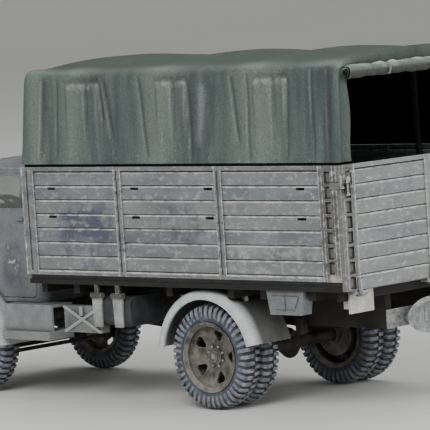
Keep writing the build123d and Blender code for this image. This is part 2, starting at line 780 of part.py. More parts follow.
# Hoops inside the cover, standing on the floor against the side boards
hoop_x_places = (-80.9, -56.1, -24.7, 6.7, 21.6)
hoop_sags = (0, 0, 0, roof_hollow_drops[0], 0)
hoop_width = 1.2
hoop_bar = 0.9

with BuildPart() as tarp_hoops:
    for hoop_x, hoop_sag in zip(hoop_x_places, hoop_sags):
        with BuildSketch(Plane.YZ.offset(hoop_x - hoop_width / 2)):
            for inset, mode in ((tarp_thickness + soft_gap, Mode.ADD),
                                (tarp_thickness + soft_gap + hoop_bar, Mode.SUBTRACT)):
                shoulder_y = tarp_half_shoulder - inset
                foot_y = side_inner_y + tarp_thickness + soft_gap - inset
                shoulder_z = tarp_shoulder_z - tarp_shoulder_round
                with BuildLine():
                    Line((foot_y, floor_edge_z), (shoulder_y, shoulder_z))
                    Line((shoulder_y, shoulder_z),
                         (shoulder_y - tarp_shoulder_round, tarp_shoulder_z - inset))
                    ThreePointArc((shoulder_y - tarp_shoulder_round, tarp_shoulder_z - inset),
                                  (0, tarp_crown_z - hoop_sag - inset),
                                  (tarp_shoulder_round - shoulder_y, tarp_shoulder_z - inset))
                    Line((tarp_shoulder_round - shoulder_y, tarp_shoulder_z - inset),
                         (-shoulder_y, shoulder_z))
                    Line((-shoulder_y, shoulder_z), (-foot_y, floor_edge_z))
                    Line((-foot_y, floor_edge_z), (foot_y, floor_edge_z))
                make_face(mode=mode)
        extrude(amount=hoop_width)
keep(tarp_hoops, "tarp_hoops")

# Rear mudguards: arched crown with a wide turned-down outer face
guard_radius = 17.0
guard_wall = 0.7
guard_lip = 2.4
guard_round = 1.4
guard_outer_y = 30.4
guard_inner_y = 16.6
guard_start_angle = 7.4
guard_end_angle = 167.2
guard_centre_x = -34.2
guard_strap_width = 1.4
guard_strap_y_span = (24.0, 25.2)


def arch_ring(centre_x, centre_z, radius, wall, lip, y_span, start, end, corner):
    """Mudguard swept about the axle line: a crown and a rounded outer lip."""
    inner_y, outer_y = y_span
    lean = math.radians(start)
    start_plane = Plane(origin=(centre_x, 0, centre_z), x_dir=(math.cos(lean), 0, math.sin(lean)),
                        z_dir=(-math.sin(lean), 0, math.cos(lean)))
    with BuildSketch(start_plane) as s:
        with BuildLine():
            Polyline(
                (radius - wall, inner_y), (radius, inner_y), (radius, outer_y),
                (radius - lip, outer_y), (radius - lip, outer_y - wall),
                (radius - wall, outer_y - wall), close=True,
            )
        make_face()
        outer_corner = s.vertices().sort_by(Axis.X)[-2:].sort_by(Axis.Y)[-1]
        inner_corner = s.vertices().sort_by_distance((radius - wall, outer_y - wall, 0))[0]
        fillet(outer_corner, radius=corner)
        chamfer(inner_corner, length=(corner - wall) / 2)
    axis = Axis((centre_x, 0, centre_z), (0, -1, 0))
    revolve(s.sketch, axis=axis, revolution_arc=end - start)


with BuildPart() as rear_mudguard_left:
    arch_ring(guard_centre_x, axle_z, guard_radius, guard_wall, guard_lip,
              (guard_inner_y, guard_outer_y), guard_start_angle, guard_end_angle, guard_round)
keep(rear_mudguard_left, "rear_mudguard_left")
keep(mirrored(rear_mudguard_left), "rear_mudguard_right")

# Straps from the bearers down to the mudguards
strap_thickness = 0.5
guard_strap_shares = (0.36, 0.554)
guard_strap_seat_z = 26.2

with BuildPart() as mudguard_straps:
    for share in guard_strap_shares:
        strap_x = bed_rear_x + share * bed_length
        reach = abs(strap_x - guard_centre_x)
        seat_z = axle_z + math.sqrt(guard_radius * guard_radius - reach * reach)
        for side in (1, -1):
            span = tuple(sorted(side * y for y in guard_strap_y_span))
            slab((strap_x - strap_thickness, strap_x + strap_thickness), span,
                 (seat_z - strap_thickness, bearer_bottom_z))
    for side in (1, -1):
        span = tuple(sorted((side * guard_inner_y, side * guard_outer_y)))
        with Locations((guard_centre_x, (span[0] + span[1]) / 2, axle_z)):
            Cylinder(guard_radius, span[1] - span[0], rotation=(90, 0, 0), mode=Mode.SUBTRACT)
keep(mudguard_straps, "mudguard_straps")

# Tapered stowage bins behind the rear wheels, with a pressed panel and a clasp
bin_top_x_span = (-68.9, -56.7)
bin_bottom_inset = 1.0
bin_top_z = floor_bottom_z - edge_rail_height
bin_bottom_z = 24.9
bin_inset = 1.55
bin_outer_y = bed_half_width - bin_inset
bin_depth = 3.6
bin_relief = 0.35
bin_relief_margin = 1.5
bin_clasp_width = 0.7

with BuildPart() as stowage_bins:
    for side in (1, -1):
        face_y = side * bin_outer_y
        back_y = side * (bin_outer_y - bin_depth)
        plane = Plane.XZ.offset(-max(face_y, back_y))
        with BuildSketch(plane):
            with BuildLine():
                Polyline(
                    (bin_top_x_span[0], bin_top_z), (bin_top_x_span[1], bin_top_z),
                    (bin_top_x_span[1] - bin_bottom_inset, bin_bottom_z),
                    (bin_top_x_span[0] + bin_bottom_inset, bin_bottom_z), close=True,
                )
            make_face()
        extrude(amount=bin_depth)
        relief = tuple(sorted((face_y, face_y + side * bin_relief)))
        with BuildSketch(Plane.XZ.offset(-relief[1])):
            with BuildLine():
                Polyline(
                    (bin_top_x_span[0] + bin_relief_margin, bin_top_z - bin_relief_margin),
                    (bin_top_x_span[1] - bin_relief_margin, bin_top_z - bin_relief_margin),
                    (bin_top_x_span[1] - 2 * bin_relief_margin,
                     bin_bottom_z + bin_relief_margin),
                    (bin_top_x_span[0] + 2 * bin_relief_margin,
                     bin_bottom_z + bin_relief_margin), close=True,
                )
            make_face()
        extrude(amount=bin_relief)
        middle_x = (bin_top_x_span[0] + bin_top_x_span[1]) / 2
        clasp = tuple(sorted((face_y, face_y + side * 2 * bin_relief)))
        slab((middle_x - bin_clasp_width / 2, middle_x + bin_clasp_width / 2), clasp,
             (bin_bottom_z + bin_relief_margin, bin_top_z - bin_relief_margin))
keep(stowage_bins, "stowage_bins")

# Blank number plate on the rear bearer
plate_inset = 4.35
plate_width = 8.6
plate_y_span = (bed_half_width - plate_inset - plate_width, bed_half_width - plate_inset)
plate_z_span = (25.3, 31.3)
plate_thickness = 0.5
plate_box_height = 2.0

with BuildPart() as number_plate:
    plate_front_x = bed_rear_x + bearer_shares[0] * bed_length - bearer_length / 2
    slab((plate_front_x - plate_thickness, plate_front_x), plate_y_span, plate_z_span)
    slab((plate_front_x, plate_front_x + bearer_length),
         (plate_y_span[0] + plate_thickness, plate_y_span[1] - plate_thickness),
         (bearer_bottom_z - plate_box_height, bearer_bottom_z))
keep(number_plate, "number_plate")

# Trailer coupling: oval guide mouth, jaw and a drop pin on the rear cross-member
coupling_z = rail_top_z - rail_height / 2
mouth_half_width = 8.4
mouth_half_height = 4.5
mouth_wall = 1.0
mouth_depth = 2.6
mouth_rear_x = -82.4
jaw_radius = 2.2
jaw_bore_radius = 1.2
jaw_pin_radius = 0.55
jaw_pin_half_height = 3.3

with BuildPart() as trailer_coupling:
    mouth_front_x = mouth_rear_x + mouth_depth
    with BuildSketch(Plane.YZ.offset(mouth_rear_x)):
        with Locations((0, coupling_z)):
            Ellipse(mouth_half_width, mouth_half_height)
    with BuildSketch(Plane.YZ.offset(mouth_front_x)):
        with Locations((0, coupling_z)):
            Ellipse(mouth_half_width - 2 * mouth_wall, mouth_half_height - 2 * mouth_wall)
    loft(ruled=True)
    with BuildSketch(Plane.YZ.offset(mouth_rear_x)):
        with Locations((0, coupling_z)):
            Ellipse(mouth_half_width - mouth_wall, mouth_half_height - mouth_wall)
    with BuildSketch(Plane.YZ.offset(mouth_front_x - mouth_wall)):
        with Locations((0, coupling_z)):
            Ellipse(mouth_half_width - 3 * mouth_wall, mouth_half_height - 3 * mouth_wall)
    loft(ruled=True, mode=Mode.SUBTRACT)
    rod_x(jaw_radius, (mouth_front_x - mouth_wall, rail_rear_x), 0, coupling_z)
    rod_z(jaw_pin_radius, (coupling_z - jaw_pin_half_height / 2, coupling_z + jaw_pin_half_height),
          mouth_front_x - mouth_wall, 0)
    slab((rail_rear_x - bin_relief, rail_rear_x), (-rail_outer_y, rail_outer_y),
         (rail_bottom_z, rail_top_z))
keep(trailer_coupling, "trailer_coupling")

# Fuel tank behind the locker, hung on two tapered straps with cross bolts
tank_x_span = (-9.4, 0.9)
tank_y_span = (19.0, 31.0)
tank_z_span = (20.4, 27.9)
tank_corner = 2.2
strap_x_places = (1.9, -5.6)
strap_top_half = 1.75
strap_bottom_half = 1.35
strap_top_z = 28.2
strap_bottom_z = 20.2
strap_plate = 0.6
cross_bolt_radius = 0.75
cross_bolt_half = 1.9
tank_bearer_reach = 2.2

with BuildPart() as fuel_tank:
    with BuildSketch(Plane.YZ.offset(tank_x_span[0])):
        with Locations(((tank_y_span[0] + tank_y_span[1]) / 2,
                        (tank_z_span[0] + tank_z_span[1]) / 2)):
            RectangleRounded(tank_y_span[1] - tank_y_span[0], tank_z_span[1] - tank_z_span[0],
                             tank_corner)
    extrude(amount=tank_x_span[1] - tank_x_span[0])
keep(fuel_tank, "fuel_tank")

with BuildPart() as tank_straps:
    plate_y = tank_y_span[1] + strap_plate
    for strap_x in strap_x_places:
        with BuildSketch(Plane.XZ.offset(-plate_y)):
            with BuildLine():
                Polyline(
                    (strap_x - strap_top_half, strap_top_z),
                    (strap_x + strap_top_half, strap_top_z),
                    (strap_x + strap_bottom_half, strap_bottom_z),
                    (strap_x - strap_bottom_half, strap_bottom_z), close=True,
                )
            make_face()
        extrude(amount=strap_plate)
        rod_x(cross_bolt_radius, (strap_x - cross_bolt_half, strap_x + cross_bolt_half),
              plate_y - strap_plate / 2, strap_top_z)
        slab((strap_x - strap_plate, strap_x + strap_plate),
             (plate_y - strap_plate, plate_y), (strap_top_z, floor_bottom_z - edge_rail_height))
keep(tank_straps, "tank_straps")

# Cab form: a side silhouette met by a cross-section, drawn in by an inset
cab_belt_z = 45.1
cab_roof_side_y = 23.6
cab_roof_side_z = 61.0
cab_roof_crown_z = 63.2
cab_roof_round = 2.6
cab_rear_roof_z = 62.4
cab_crown_x = 39.0
windscreen_top_x = 58.6
windscreen_top_z = 60.9
windscreen_foot_x = 62.6
windscreen_foot_z = 47.0
cowl_bottom_z = 31.4
cab_rear_round = 3.0


def cab_form(inset):
    """Solid form of the cab, drawn in by the inset on every side."""
    with BuildPart() as form:
        half = cab_half_width - inset
        with BuildSketch(Plane.YZ.offset(cab_back_x + inset)) as section:
            with BuildLine() as outline:
                Line((half, cab_bottom_z + inset), (half, cab_belt_z))
                Line((half, cab_belt_z), (cab_roof_side_y - inset, cab_roof_side_z - inset))
                ThreePointArc((cab_roof_side_y - inset, cab_roof_side_z - inset),
                              (0, cab_roof_crown_z - inset),
                              (inset - cab_roof_side_y, cab_roof_side_z - inset))
                Line((inset - cab_roof_side_y, cab_roof_side_z - inset), (-half, cab_belt_z))
                Line((-half, cab_belt_z), (-half, cab_bottom_z + inset))
                Line((-half, cab_bottom_z + inset), (half, cab_bottom_z + inset))
            make_face(outline.edges())
            eaves = section.vertices().group_by(Axis.Y)[-1]
            fillet(eaves, radius=cab_roof_round - inset)
        extrude(section.sketch, amount=windscreen_foot_x - cab_back_x - 2 * inset)
        rear = form.edges().filter_by(Axis.Z).filter_by_position(
            Axis.X, cab_back_x, cab_back_x + 2 * inset + running_gap)
        fillet(rear, radius=cab_rear_round - inset)
        with BuildSketch(Plane.XZ.offset(-cab_half_width - overrun)) as silhouette:
            with BuildLine() as side_line:
                ThreePointArc((cab_back_x, cab_rear_roof_z - inset),
                              (cab_crown_x, cab_roof_crown_z - inset),
                              (windscreen_top_x - inset, windscreen_top_z - inset))
                Line((windscreen_top_x - inset, windscreen_top_z - inset),
                     (windscreen_foot_x - inset, windscreen_foot_z))
                Line((windscreen_foot_x - inset, windscreen_foot_z),
                     (windscreen_foot_x - inset, cab_bottom_z))
                Line((windscreen_foot_x - inset, cab_bottom_z), (cab_back_x, cab_bottom_z))
                Line((cab_back_x, cab_bottom_z), (cab_back_x, cab_rear_roof_z - inset))
            make_face(side_line.edges())
        extrude(silhouette.sketch, amount=2 * (cab_half_width + overrun), mode=Mode.INTERSECT)
    return form


# Door outline, cut away over the front wheel; the window follows it
door_x_span = (31.0, 55.0)
door_floor_clearance = 0.4
door_bottom_z = cab_bottom_z + cab_skin + door_floor_clearance
door_top_z = 59.8
door_gap = 0.22
door_corner = 1.6
wheel_arch_radius = 17.6
door_notch_radius = 18.4
window_margin = 2.4
window_sill_z = 49.7
window_top_z = 58.4
window_corner = 1.6
window_x_span = (door_x_span[0] + window_margin, door_x_span[1] - window_margin)
rear_window_half_width = 8.0
rear_window_z_span = (51.0, 58.0)
screen_pane_inner_y = 0.9
screen_pane_outer_y = 19.6
screen_z_span = (49.4, 58.8)
glass_inset = 0.3
glass_thickness = 0.3


def door_panel(grow):
    """Through block in the door's outline, grown by the gap around it."""
    with BuildPart() as panel:
        with BuildSketch(Plane.XZ.offset(-cab_half_width - overrun)) as outline:
            with Locations(((door_x_span[0] + door_x_span[1]) / 2,
                            (door_bottom_z + door_top_z) / 2)):
                RectangleRounded(door_x_span[1] - door_x_span[0] + 2 * grow,
                                 door_top_z - door_bottom_z + 2 * grow, door_corner + grow)
            with Locations((front_axle_x, axle_z)):
                Circle(door_notch_radius - grow, mode=Mode.SUBTRACT)
        extrude(outline.sketch, amount=cab_half_width)
    return panel


def window_block():
    """Through block in the outline of the door's window."""
    with BuildPart() as block:
        with BuildSketch(Plane.XZ.offset(-cab_half_width - overrun)) as outline:
            with Locations(((window_x_span[0] + window_x_span[1]) / 2,
                            (window_sill_z + window_top_z) / 2)):
                RectangleRounded(window_x_span[1] - window_x_span[0],
                                 window_top_z - window_sill_z, window_corner)
        extrude(outline.sketch, amount=cab_half_width)
    return block


def screen_block():
    """Through blocks of the two windscreen panes."""
    with BuildPart() as block:
        with BuildSketch(Plane.YZ.offset(door_x_span[1])) as outline:
            for side in (1, -1):
                middle_y = side * (screen_pane_inner_y + screen_pane_outer_y) / 2
                with Locations((middle_y, (screen_z_span[0] + screen_z_span[1]) / 2)):
                    RectangleRounded(screen_pane_outer_y - screen_pane_inner_y,
                                     screen_z_span[1] - screen_z_span[0], window_corner / 2)
        extrude(outline.sketch, amount=windscreen_foot_x)
    return block


def rear_window_block():
    """Through block of the small window in the back wall."""
    with BuildPart() as block:
        with BuildSketch(Plane.YZ.offset(cab_back_x - overrun)) as outline:
            with Locations((0, (rear_window_z_span[0] + rear_window_z_span[1]) / 2)):
                RectangleRounded(2 * rear_window_half_width,
                                 rear_window_z_span[1] - rear_window_z_span[0], window_corner)
        extrude(outline.sketch, amount=2 * overrun)
    return block


with BuildPart() as cab_skin_form:
    add(cab_form(0).part)
    add(cab_form(cab_skin).part, mode=Mode.SUBTRACT)
with BuildPart() as glass_form:
    add(cab_form(glass_inset).part)
    add(cab_form(glass_inset + glass_thickness).part, mode=Mode.SUBTRACT)

door_block = door_panel(0).part
door_hole = door_panel(door_gap).part
pane_block = window_block().part
roof_joint_z = 60.3
cowl_joint_x = 57.0

# Door hinges: two barrels with straps on the door, turning on pins between lugs on the cab side
door_hinge_x = 55.1
hinge_barrel_radius = 0.5
hinge_gap = 0.1
door_hinge_y = cab_half_width + hinge_barrel_radius + hinge_gap
hinge_z_places = (35.0, 43.2)
hinge_height = 1.8
hinge_lug_height = 0.6
hinge_pin_radius = 0.22
hinge_strap_thickness = 0.3
hinge_strap_length = 2.6


def hinge_lugs(side):
    """Fixed half of one door's hinges: lugs, their straps and the pins between them."""
    strap_y = tuple(sorted((side * cab_half_width,
                            side * (cab_half_width + hinge_strap_thickness))))
    for hinge_z in hinge_z_places:
        reach = hinge_height / 2 + hinge_gap
        for end in (1, -1):
            lug = tuple(sorted((hinge_z + end * reach, hinge_z + end * (reach + hinge_lug_height))))
            rod_z(hinge_barrel_radius, lug, door_hinge_x, side * door_hinge_y)
            slab((door_hinge_x, cowl_joint_x), strap_y, lug)
        rod_z(hinge_pin_radius, (hinge_z - reach - hinge_lug_height, hinge_z + reach + hinge_lug_height),
              door_hinge_x, side * door_hinge_y)


def hinge_barrels():
    """Moving half of the left door's hinges: straps and bored barrels."""
    for hinge_z in hinge_z_places:
        span = (hinge_z - hinge_height / 2, hinge_z + hinge_height / 2)
        rod_z(hinge_barrel_radius, span, door_hinge_x, door_hinge_y)
        slab((door_hinge_x - hinge_strap_length, door_hinge_x),
             (cab_half_width, cab_half_width + hinge_strap_thickness), span)
        rod_z(hinge_pin_radius + running_gap, (span[0] - hinge_gap, span[1] + hinge_gap),
              door_hinge_x, door_hinge_y, mode=Mode.SUBTRACT)


with BuildPart() as cab_roof:
    add(cab_skin_form.part)
    slab((cab_back_x - overrun, windscreen_foot_x), (-cab_half_width, cab_half_width),
         (roof_joint_z, cab_roof_crown_z), mode=Mode.INTERSECT)
keep(cab_roof, "cab_roof")

with BuildPart() as cab_body:
    add(cab_skin_form.part)
    slab((cab_back_x - overrun, cowl_joint_x), (-cab_half_width, cab_half_width),
         (cab_bottom_z, roof_joint_z), mode=Mode.INTERSECT)
    add(door_hole, mode=Mode.SUBTRACT)
    add(mirror(door_hole, about=Plane.XZ, mode=Mode.PRIVATE), mode=Mode.SUBTRACT)
    add(rear_window_block().part, mode=Mode.SUBTRACT)
    with Locations((front_axle_x, 0, axle_z)):
        Cylinder(wheel_arch_radius, 2 * cab_half_width + overrun, rotation=(90, 0, 0),
                 mode=Mode.SUBTRACT)
    hinge_lugs(1)
    hinge_lugs(-1)
keep(cab_body, "cab_body")

with BuildPart() as cab_cowl:
    add(cab_skin_form.part)
    slab((cowl_joint_x, windscreen_foot_x + overrun), (-cab_half_width, cab_half_width),
         (cowl_bottom_z, roof_joint_z), mode=Mode.INTERSECT)
    add(screen_block().part, mode=Mode.SUBTRACT)
    slab((windscreen_top_x, windscreen_foot_x + overrun),
         (-engine_half_width - cab_skin, engine_half_width + cab_skin),
         (cowl_bottom_z, engine_z_span[1] + cab_skin), mode=Mode.SUBTRACT)
keep(cab_cowl, "cab_cowl")

with BuildPart() as windscreen_glass:
    add(glass_form.part)
    add(screen_block().part, mode=Mode.INTERSECT)
keep(windscreen_glass, "windscreen_glass")

with BuildPart() as rear_window_glass:
    add(glass_form.part)
    add(rear_window_block().part, mode=Mode.INTERSECT)
keep(rear_window_glass, "rear_window_glass")

handle_x = 34.0
handle_z = 46.8
handle_length = 2.4
handle_radius = 0.3
handle_stand = 0.5

with BuildPart() as door_left:
    add(cab_skin_form.part)
    add(door_block, mode=Mode.INTERSECT)
    add(pane_block, mode=Mode.SUBTRACT)
    rod_x(handle_radius, (handle_x, handle_x + handle_length),
          cab_half_width + handle_stand, handle_z)
    rod_y(handle_radius, (cab_half_width - cab_skin, cab_half_width + handle_stand),
          handle_x + handle_radius, handle_z)
    hinge_barrels()
keep(door_left, "door_left")
keep(mirrored(door_left), "door_right")

with BuildPart() as door_glass_left:
    add(glass_form.part)
    add(pane_block, mode=Mode.INTERSECT)
keep(door_glass_left, "door_glass_left")
keep(mirrored(door_glass_left), "door_glass_right")

# Cab floor and seat, dashboard with the steering wheel
cab_floor_half_width = 24.1
cab_floor_z_span = (25.9, 27.0)
arch_mid_radius = wheel_arch_radius + cab_skin / 2
arch_rise = cab_floor_z_span[0] - axle_z
cab_floor_x_span = (cab_back_x + cab_skin,
                    front_axle_x - math.sqrt(arch_mid_radius * arch_mid_radius - arch_rise * arch_rise))
engine_cover_x = 43.4
engine_cover_half_width = 8.0
engine_cover_z = 37.2
seat_x_span = (30.2, 41.0)
seat_half_width = 22.0
seat_z = 34.0
seat_thickness = 3.4
seat_z_span = (seat_z, seat_z + seat_thickness)
seat_back_x_span = (29.6, 32.0)
seat_back_height = 16.5
seat_back_top_z = seat_z + seat_back_height
seat_box_half_width = 20.5
seat_round = 1.0

with BuildPart() as cab_floor:
    slab(cab_floor_x_span, (-cab_floor_half_width, cab_floor_half_width), cab_floor_z_span)
    fillet(cab_floor.edges().filter_by(Axis.Z).group_by(Axis.X)[0], radius=cab_rear_round)
    with BuildSketch(Plane.XZ.offset(-cab_floor_half_width)) as arch_section:
        with Locations((front_axle_x, axle_z)):
            Circle(wheel_arch_radius + cab_skin)
            Circle(wheel_arch_radius, mode=Mode.SUBTRACT)
    extrude(amount=2 * cab_floor_half_width)
    slab((cab_floor_x_span[0], windscreen_foot_x - cab_skin),
         (-cab_floor_half_width, cab_floor_half_width),
         (cab_floor_z_span[0], cowl_bottom_z + cab_skin), mode=Mode.INTERSECT)
    slab((engine_cover_x - cab_skin, windscreen_foot_x - cab_skin),
         (-engine_cover_half_width - cab_skin, engine_cover_half_width + cab_skin),
         (cab_floor_z_span[1], engine_cover_z + cab_skin))
    slab((engine_cover_x, windscreen_foot_x), (-engine_cover_half_width, engine_cover_half_width),
         (cab_bottom_z, engine_cover_z), mode=Mode.SUBTRACT)
keep(cab_floor, "cab_floor")

with BuildPart() as bench_seat:
    slab(seat_x_span, (-seat_half_width, seat_half_width), seat_z_span)
    slab(seat_back_x_span, (-seat_half_width, seat_half_width), (seat_z_span[0], seat_back_top_z))
    fillet(bench_seat.edges().filter_by(Axis.Y), radius=seat_round)
    slab((seat_x_span[0], seat_x_span[1] - 2 * seat_round),
         (-seat_box_half_width, seat_box_half_width), (cab_floor_z_span[1], seat_z_span[0]))
keep(bench_seat, "bench_seat")

dash_x_span = (58.4, 61.7)
dash_half_width = 23.4
dash_z_span = (42.0, 46.9)
steering_y = 11.5
steering_ring_radius = 5.2
steering_bar = 0.45
steering_ring_x = 52.5
steering_ring_z = 48.5
column_lean_angle = 55.0
column_length = 17.0

with BuildPart() as steering_wheel:
    ring_plane = Plane(origin=(steering_ring_x, steering_y, steering_ring_z),
                       z_dir=(-math.cos(math.radians(column_lean_angle)), 0,
                              math.sin(math.radians(column_lean_angle))))
    with BuildSketch(ring_plane):
        Circle(steering_ring_radius + steering_bar)
        Circle(steering_ring_radius - steering_bar, mode=Mode.SUBTRACT)
        for spoke_angle in (0, 120, 240):
            with Locations(Rot(0, 0, spoke_angle) * Pos(steering_ring_radius / 2, 0)):
                Rectangle(steering_ring_radius, 2 * steering_bar)
    extrude(amount=steering_bar, both=True)
    with BuildSketch(ring_plane):
        Circle(2 * steering_bar)
    extrude(amount=-column_length)
    slab((cab_back_x, windscreen_foot_x - cab_skin),
         (-cab_half_width, cab_half_width),
         (cowl_bottom_z + cab_skin, cab_roof_crown_z), mode=Mode.INTERSECT)
keep(steering_wheel, "steering_wheel")

with BuildPart() as dashboard:
    slab(dash_x_span, (-dash_half_width, dash_half_width), dash_z_span)
    fillet(dashboard.edges().filter_by(Axis.Y).group_by(Axis.X)[0], radius=seat_round)
keep(dashboard, "dashboard")

# Hood: a lofted shell that narrows and falls towards the grille
hood_rear_x = windscreen_foot_x
hood_front_x = 79.6
hood_bottom_z = 26.0
hood_rear_half_width = 20.0
hood_rear_top_z = 46.4
hood_front_half_width = 11.2
hood_front_top_z = 41.6
hood_round_share = 0.42
grille_front_x = 82.2


def hood_section(x, half_width, top_z, inset):
    """Rounded upright section of the hood at one station."""
    with BuildSketch(Plane.YZ.offset(x)) as section:
        with BuildLine() as outline:
            wide, high = half_width - inset, top_z - inset
            drop = hood_round_share * half_width
            Line((wide, hood_bottom_z), (wide, high - drop))
            ThreePointArc((wide, high - drop), (wide - drop * 0.293, high - drop * 0.293),
                          (wide - drop, high))
            Line((wide - drop, high), (drop - wide, high))
            ThreePointArc((drop - wide, high), (drop * 0.293 - wide, high - drop * 0.293),
                          (-wide, high - drop))
            Line((-wide, high - drop), (-wide, hood_bottom_z))
            Line((-wide, hood_bottom_z), (wide, hood_bottom_z))
        make_face(outline.edges())
    return section.sketch


with BuildPart() as hood_form:
    loft([hood_section(hood_rear_x, hood_rear_half_width, hood_rear_top_z, 0),
          hood_section(hood_front_x, hood_front_half_width, hood_front_top_z, 0)], ruled=True)

with BuildPart() as hood:
    add(hood_form.part)
    loft([hood_section(hood_rear_x, hood_rear_half_width, hood_rear_top_z, cab_skin),
          hood_section(hood_front_x, hood_front_half_width, hood_front_top_z, cab_skin)],
         ruled=True, mode=Mode.SUBTRACT)
keep(hood, "hood")

# Grille shell with upright slats in front of the radiator core
grille_border = 1.4
grille_slat_pitch = 1.5
grille_slat_width = 0.7
grille_bottom_z = 25.0
radiator_depth = 1.6

with BuildPart() as grille:
    extrude(hood_section(hood_front_x, hood_front_half_width, hood_front_top_z, 0),
            amount=grille_front_x - hood_front_x)
    front = grille.faces().sort_by(Axis.X)[-1]
    fillet(front.edges().sort_by(Axis.Z)[1:], radius=grille_border - panel_gap)
    slat_low = grille_bottom_z + 2 * grille_border
    slat_high = hood_front_top_z - 2 * grille_border
    open_half = hood_front_half_width - 2 * grille_border
    slat_count = int(2 * open_half / grille_slat_pitch)
    with BuildSketch(Plane.YZ.offset(hood_front_x)):
        with Locations((0, (slat_low + slat_high) / 2)):
            with GridLocations(grille_slat_pitch, 1, slat_count, 1):
                Rectangle(grille_slat_pitch - grille_slat_width, slat_high - slat_low)
    extrude(amount=overrun, mode=Mode.SUBTRACT)
keep(grille, "grille")

with BuildPart() as radiator:
    slab((hood_front_x - radiator_depth, hood_front_x), (-open_half, open_half),
         (rail_top_z, slat_high))
keep(radiator, "radiator")

# Front wings: revolved about the axle line, with a valance down to the step at the rear
wing_radius = wheel_arch_radius
wing_wall = 0.8
wing_lip = 2.6
wing_round = 2.2
wing_outer_y = 30.3
wing_inner_y = 12.6
wing_sweep_angle = 178.0

with BuildPart() as front_wing_left:
    arch_ring(front_axle_x, axle_z, wing_radius - panel_gap, wing_wall, wing_lip,
              (wing_inner_y, wing_outer_y), 0, wing_sweep_angle, wing_round)
    add(hood_form.part, mode=Mode.SUBTRACT)
keep(front_wing_left, "front_wing_left")
keep(mirrored(front_wing_left), "front_wing_right")

# Steps: skirt below the cab with a projecting tread board
skirt_x_span = (21.3, 39.2)
skirt_z_span = (18.0, 24.9)
step_outer_y = 30.9
step_z_span = (15.8, 18.0)
step_inner_y = 22.0

with BuildPart() as steps:
    for side in (1, -1):
        skirt = tuple(sorted((side * (skirt_outer_y - skirt_wall), side * skirt_outer_y)))
        slab(skirt_x_span, skirt, skirt_z_span)
        shelf = tuple(sorted((side * step_inner_y, side * skirt_outer_y)))
        slab(skirt_x_span, shelf, (skirt_z_span[1] - skirt_wall, skirt_z_span[1]))
        tread = tuple(sorted((side * step_inner_y, side * step_outer_y)))
        slab(skirt_x_span, tread, step_z_span)
keep(steps, "steps")

# Ribbed locker between the step and the tank
locker_x_span = (1.6, 15.3)
locker_outer_y = 30.6
locker_z_span = (18.4, 25.2)
locker_rib_width = 0.8
locker_rib_height = 0.35
locker_clasp = 1.0
locker_lid_drop = 1.2

with BuildPart() as locker:
    slab(locker_x_span, (locker_inner_y, locker_outer_y), locker_z_span)
    length = locker_x_span[1] - locker_x_span[0]
    height = locker_z_span[1] - locker_z_span[0]
    middle = ((locker_x_span[0] + locker_x_span[1]) / 2, (locker_z_span[0] + locker_z_span[1]) / 2)
    with BuildSketch(Plane.XZ.offset(-locker_outer_y - locker_rib_height)):
        for lean in (1, -1):
            angle = lean * math.degrees(math.atan2(height, length))
            with Locations(middle):
                Rectangle(math.hypot(length, height), locker_rib_width, rotation=angle)
        with Locations(middle):
            Rectangle(length, height, mode=Mode.INTERSECT)
    extrude(amount=locker_rib_height)
    slab((middle[0] - locker_clasp / 2, middle[0] + locker_clasp / 2),
         (locker_outer_y, locker_outer_y + 2 * locker_rib_height),
         (locker_z_span[1] - 2 * locker_lid_drop, locker_z_span[1]))
keep(locker, "locker")

# Bumper, headlamps
bumper_x_span = (84.4, 86.9)
bumper_half_width = 29.0
bumper_z_span = (15.4, 19.6)
bumper_wall = 0.7
bumper_end_round = 1.2
lamp_radius = 2.7
lamp_x_span = (75.5, 79.5)
lamp_y = 17.5
lamp_z = 36.0
lamp_shell_length = 2.0
lamp_stalk_radius = 0.6
lamp_lens_depth = 0.4

with BuildPart() as bumper:
    with BuildSketch(Plane.YZ.offset(bumper_x_span[0])):
        with Locations((0, (bumper_z_span[0] + bumper_z_span[1]) / 2)):
            RectangleRounded(2 * bumper_half_width, bumper_z_span[1] - bumper_z_span[0],
                             bumper_end_round)
    extrude(amount=bumper_x_span[1] - bumper_x_span[0])
    slab((bumper_x_span[0], bumper_x_span[1] - bumper_wall),
         (-bumper_half_width + bumper_wall, bumper_half_width - bumper_wall),
         (bumper_z_span[0] + bumper_wall, bumper_z_span[1] - bumper_wall), mode=Mode.SUBTRACT)
    for side in (1, -1):
        span = tuple(sorted((side * (rail_outer_y - rail_flange), side * rail_outer_y)))
        slab((rail_front_x, bumper_x_span[1] - bumper_wall), span,
             (bumper_z_span[0] + bumper_wall, rail_top_z))
keep(bumper, "bumper")

with BuildPart() as headlamps:
    for side in (1, -1):
        shell_x = lamp_x_span[1] - lamp_shell_length
        rod_x(lamp_radius, (shell_x, lamp_x_span[1]), side * lamp_y, lamp_z)
        with Locations(((lamp_x_span[0] + shell_x) / 2, side * lamp_y, lamp_z)):
            Cone(lamp_radius / 2, lamp_radius, shell_x - lamp_x_span[0], rotation=(0, 90, 0))
        stalk = tuple(sorted((side * hood_front_half_width, side * lamp_y)))
        rod_y(lamp_stalk_radius, stalk, lamp_x_span[1] - lamp_radius / 2, lamp_z)
    add(hood_form.part, mode=Mode.SUBTRACT)
keep(headlamps, "headlamps")

with BuildPart() as headlamp_lenses:
    for side in (1, -1):
        rod_x(lamp_radius - lamp_lens_depth, (lamp_x_span[1], lamp_x_span[1] + lamp_lens_depth),
              side * lamp_y, lamp_z)
keep(headlamp_lenses, "headlamp_lenses")
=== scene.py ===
# A moulded scale model of a covered army lorry: finishes, cover, tyres and small fittings
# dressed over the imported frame. Lengths are in millimetres until a mesh is placed.

import json
import logging
import math
from contextlib import contextmanager
from dataclasses import dataclass
from enum import Enum
from typing import Iterator, Sequence

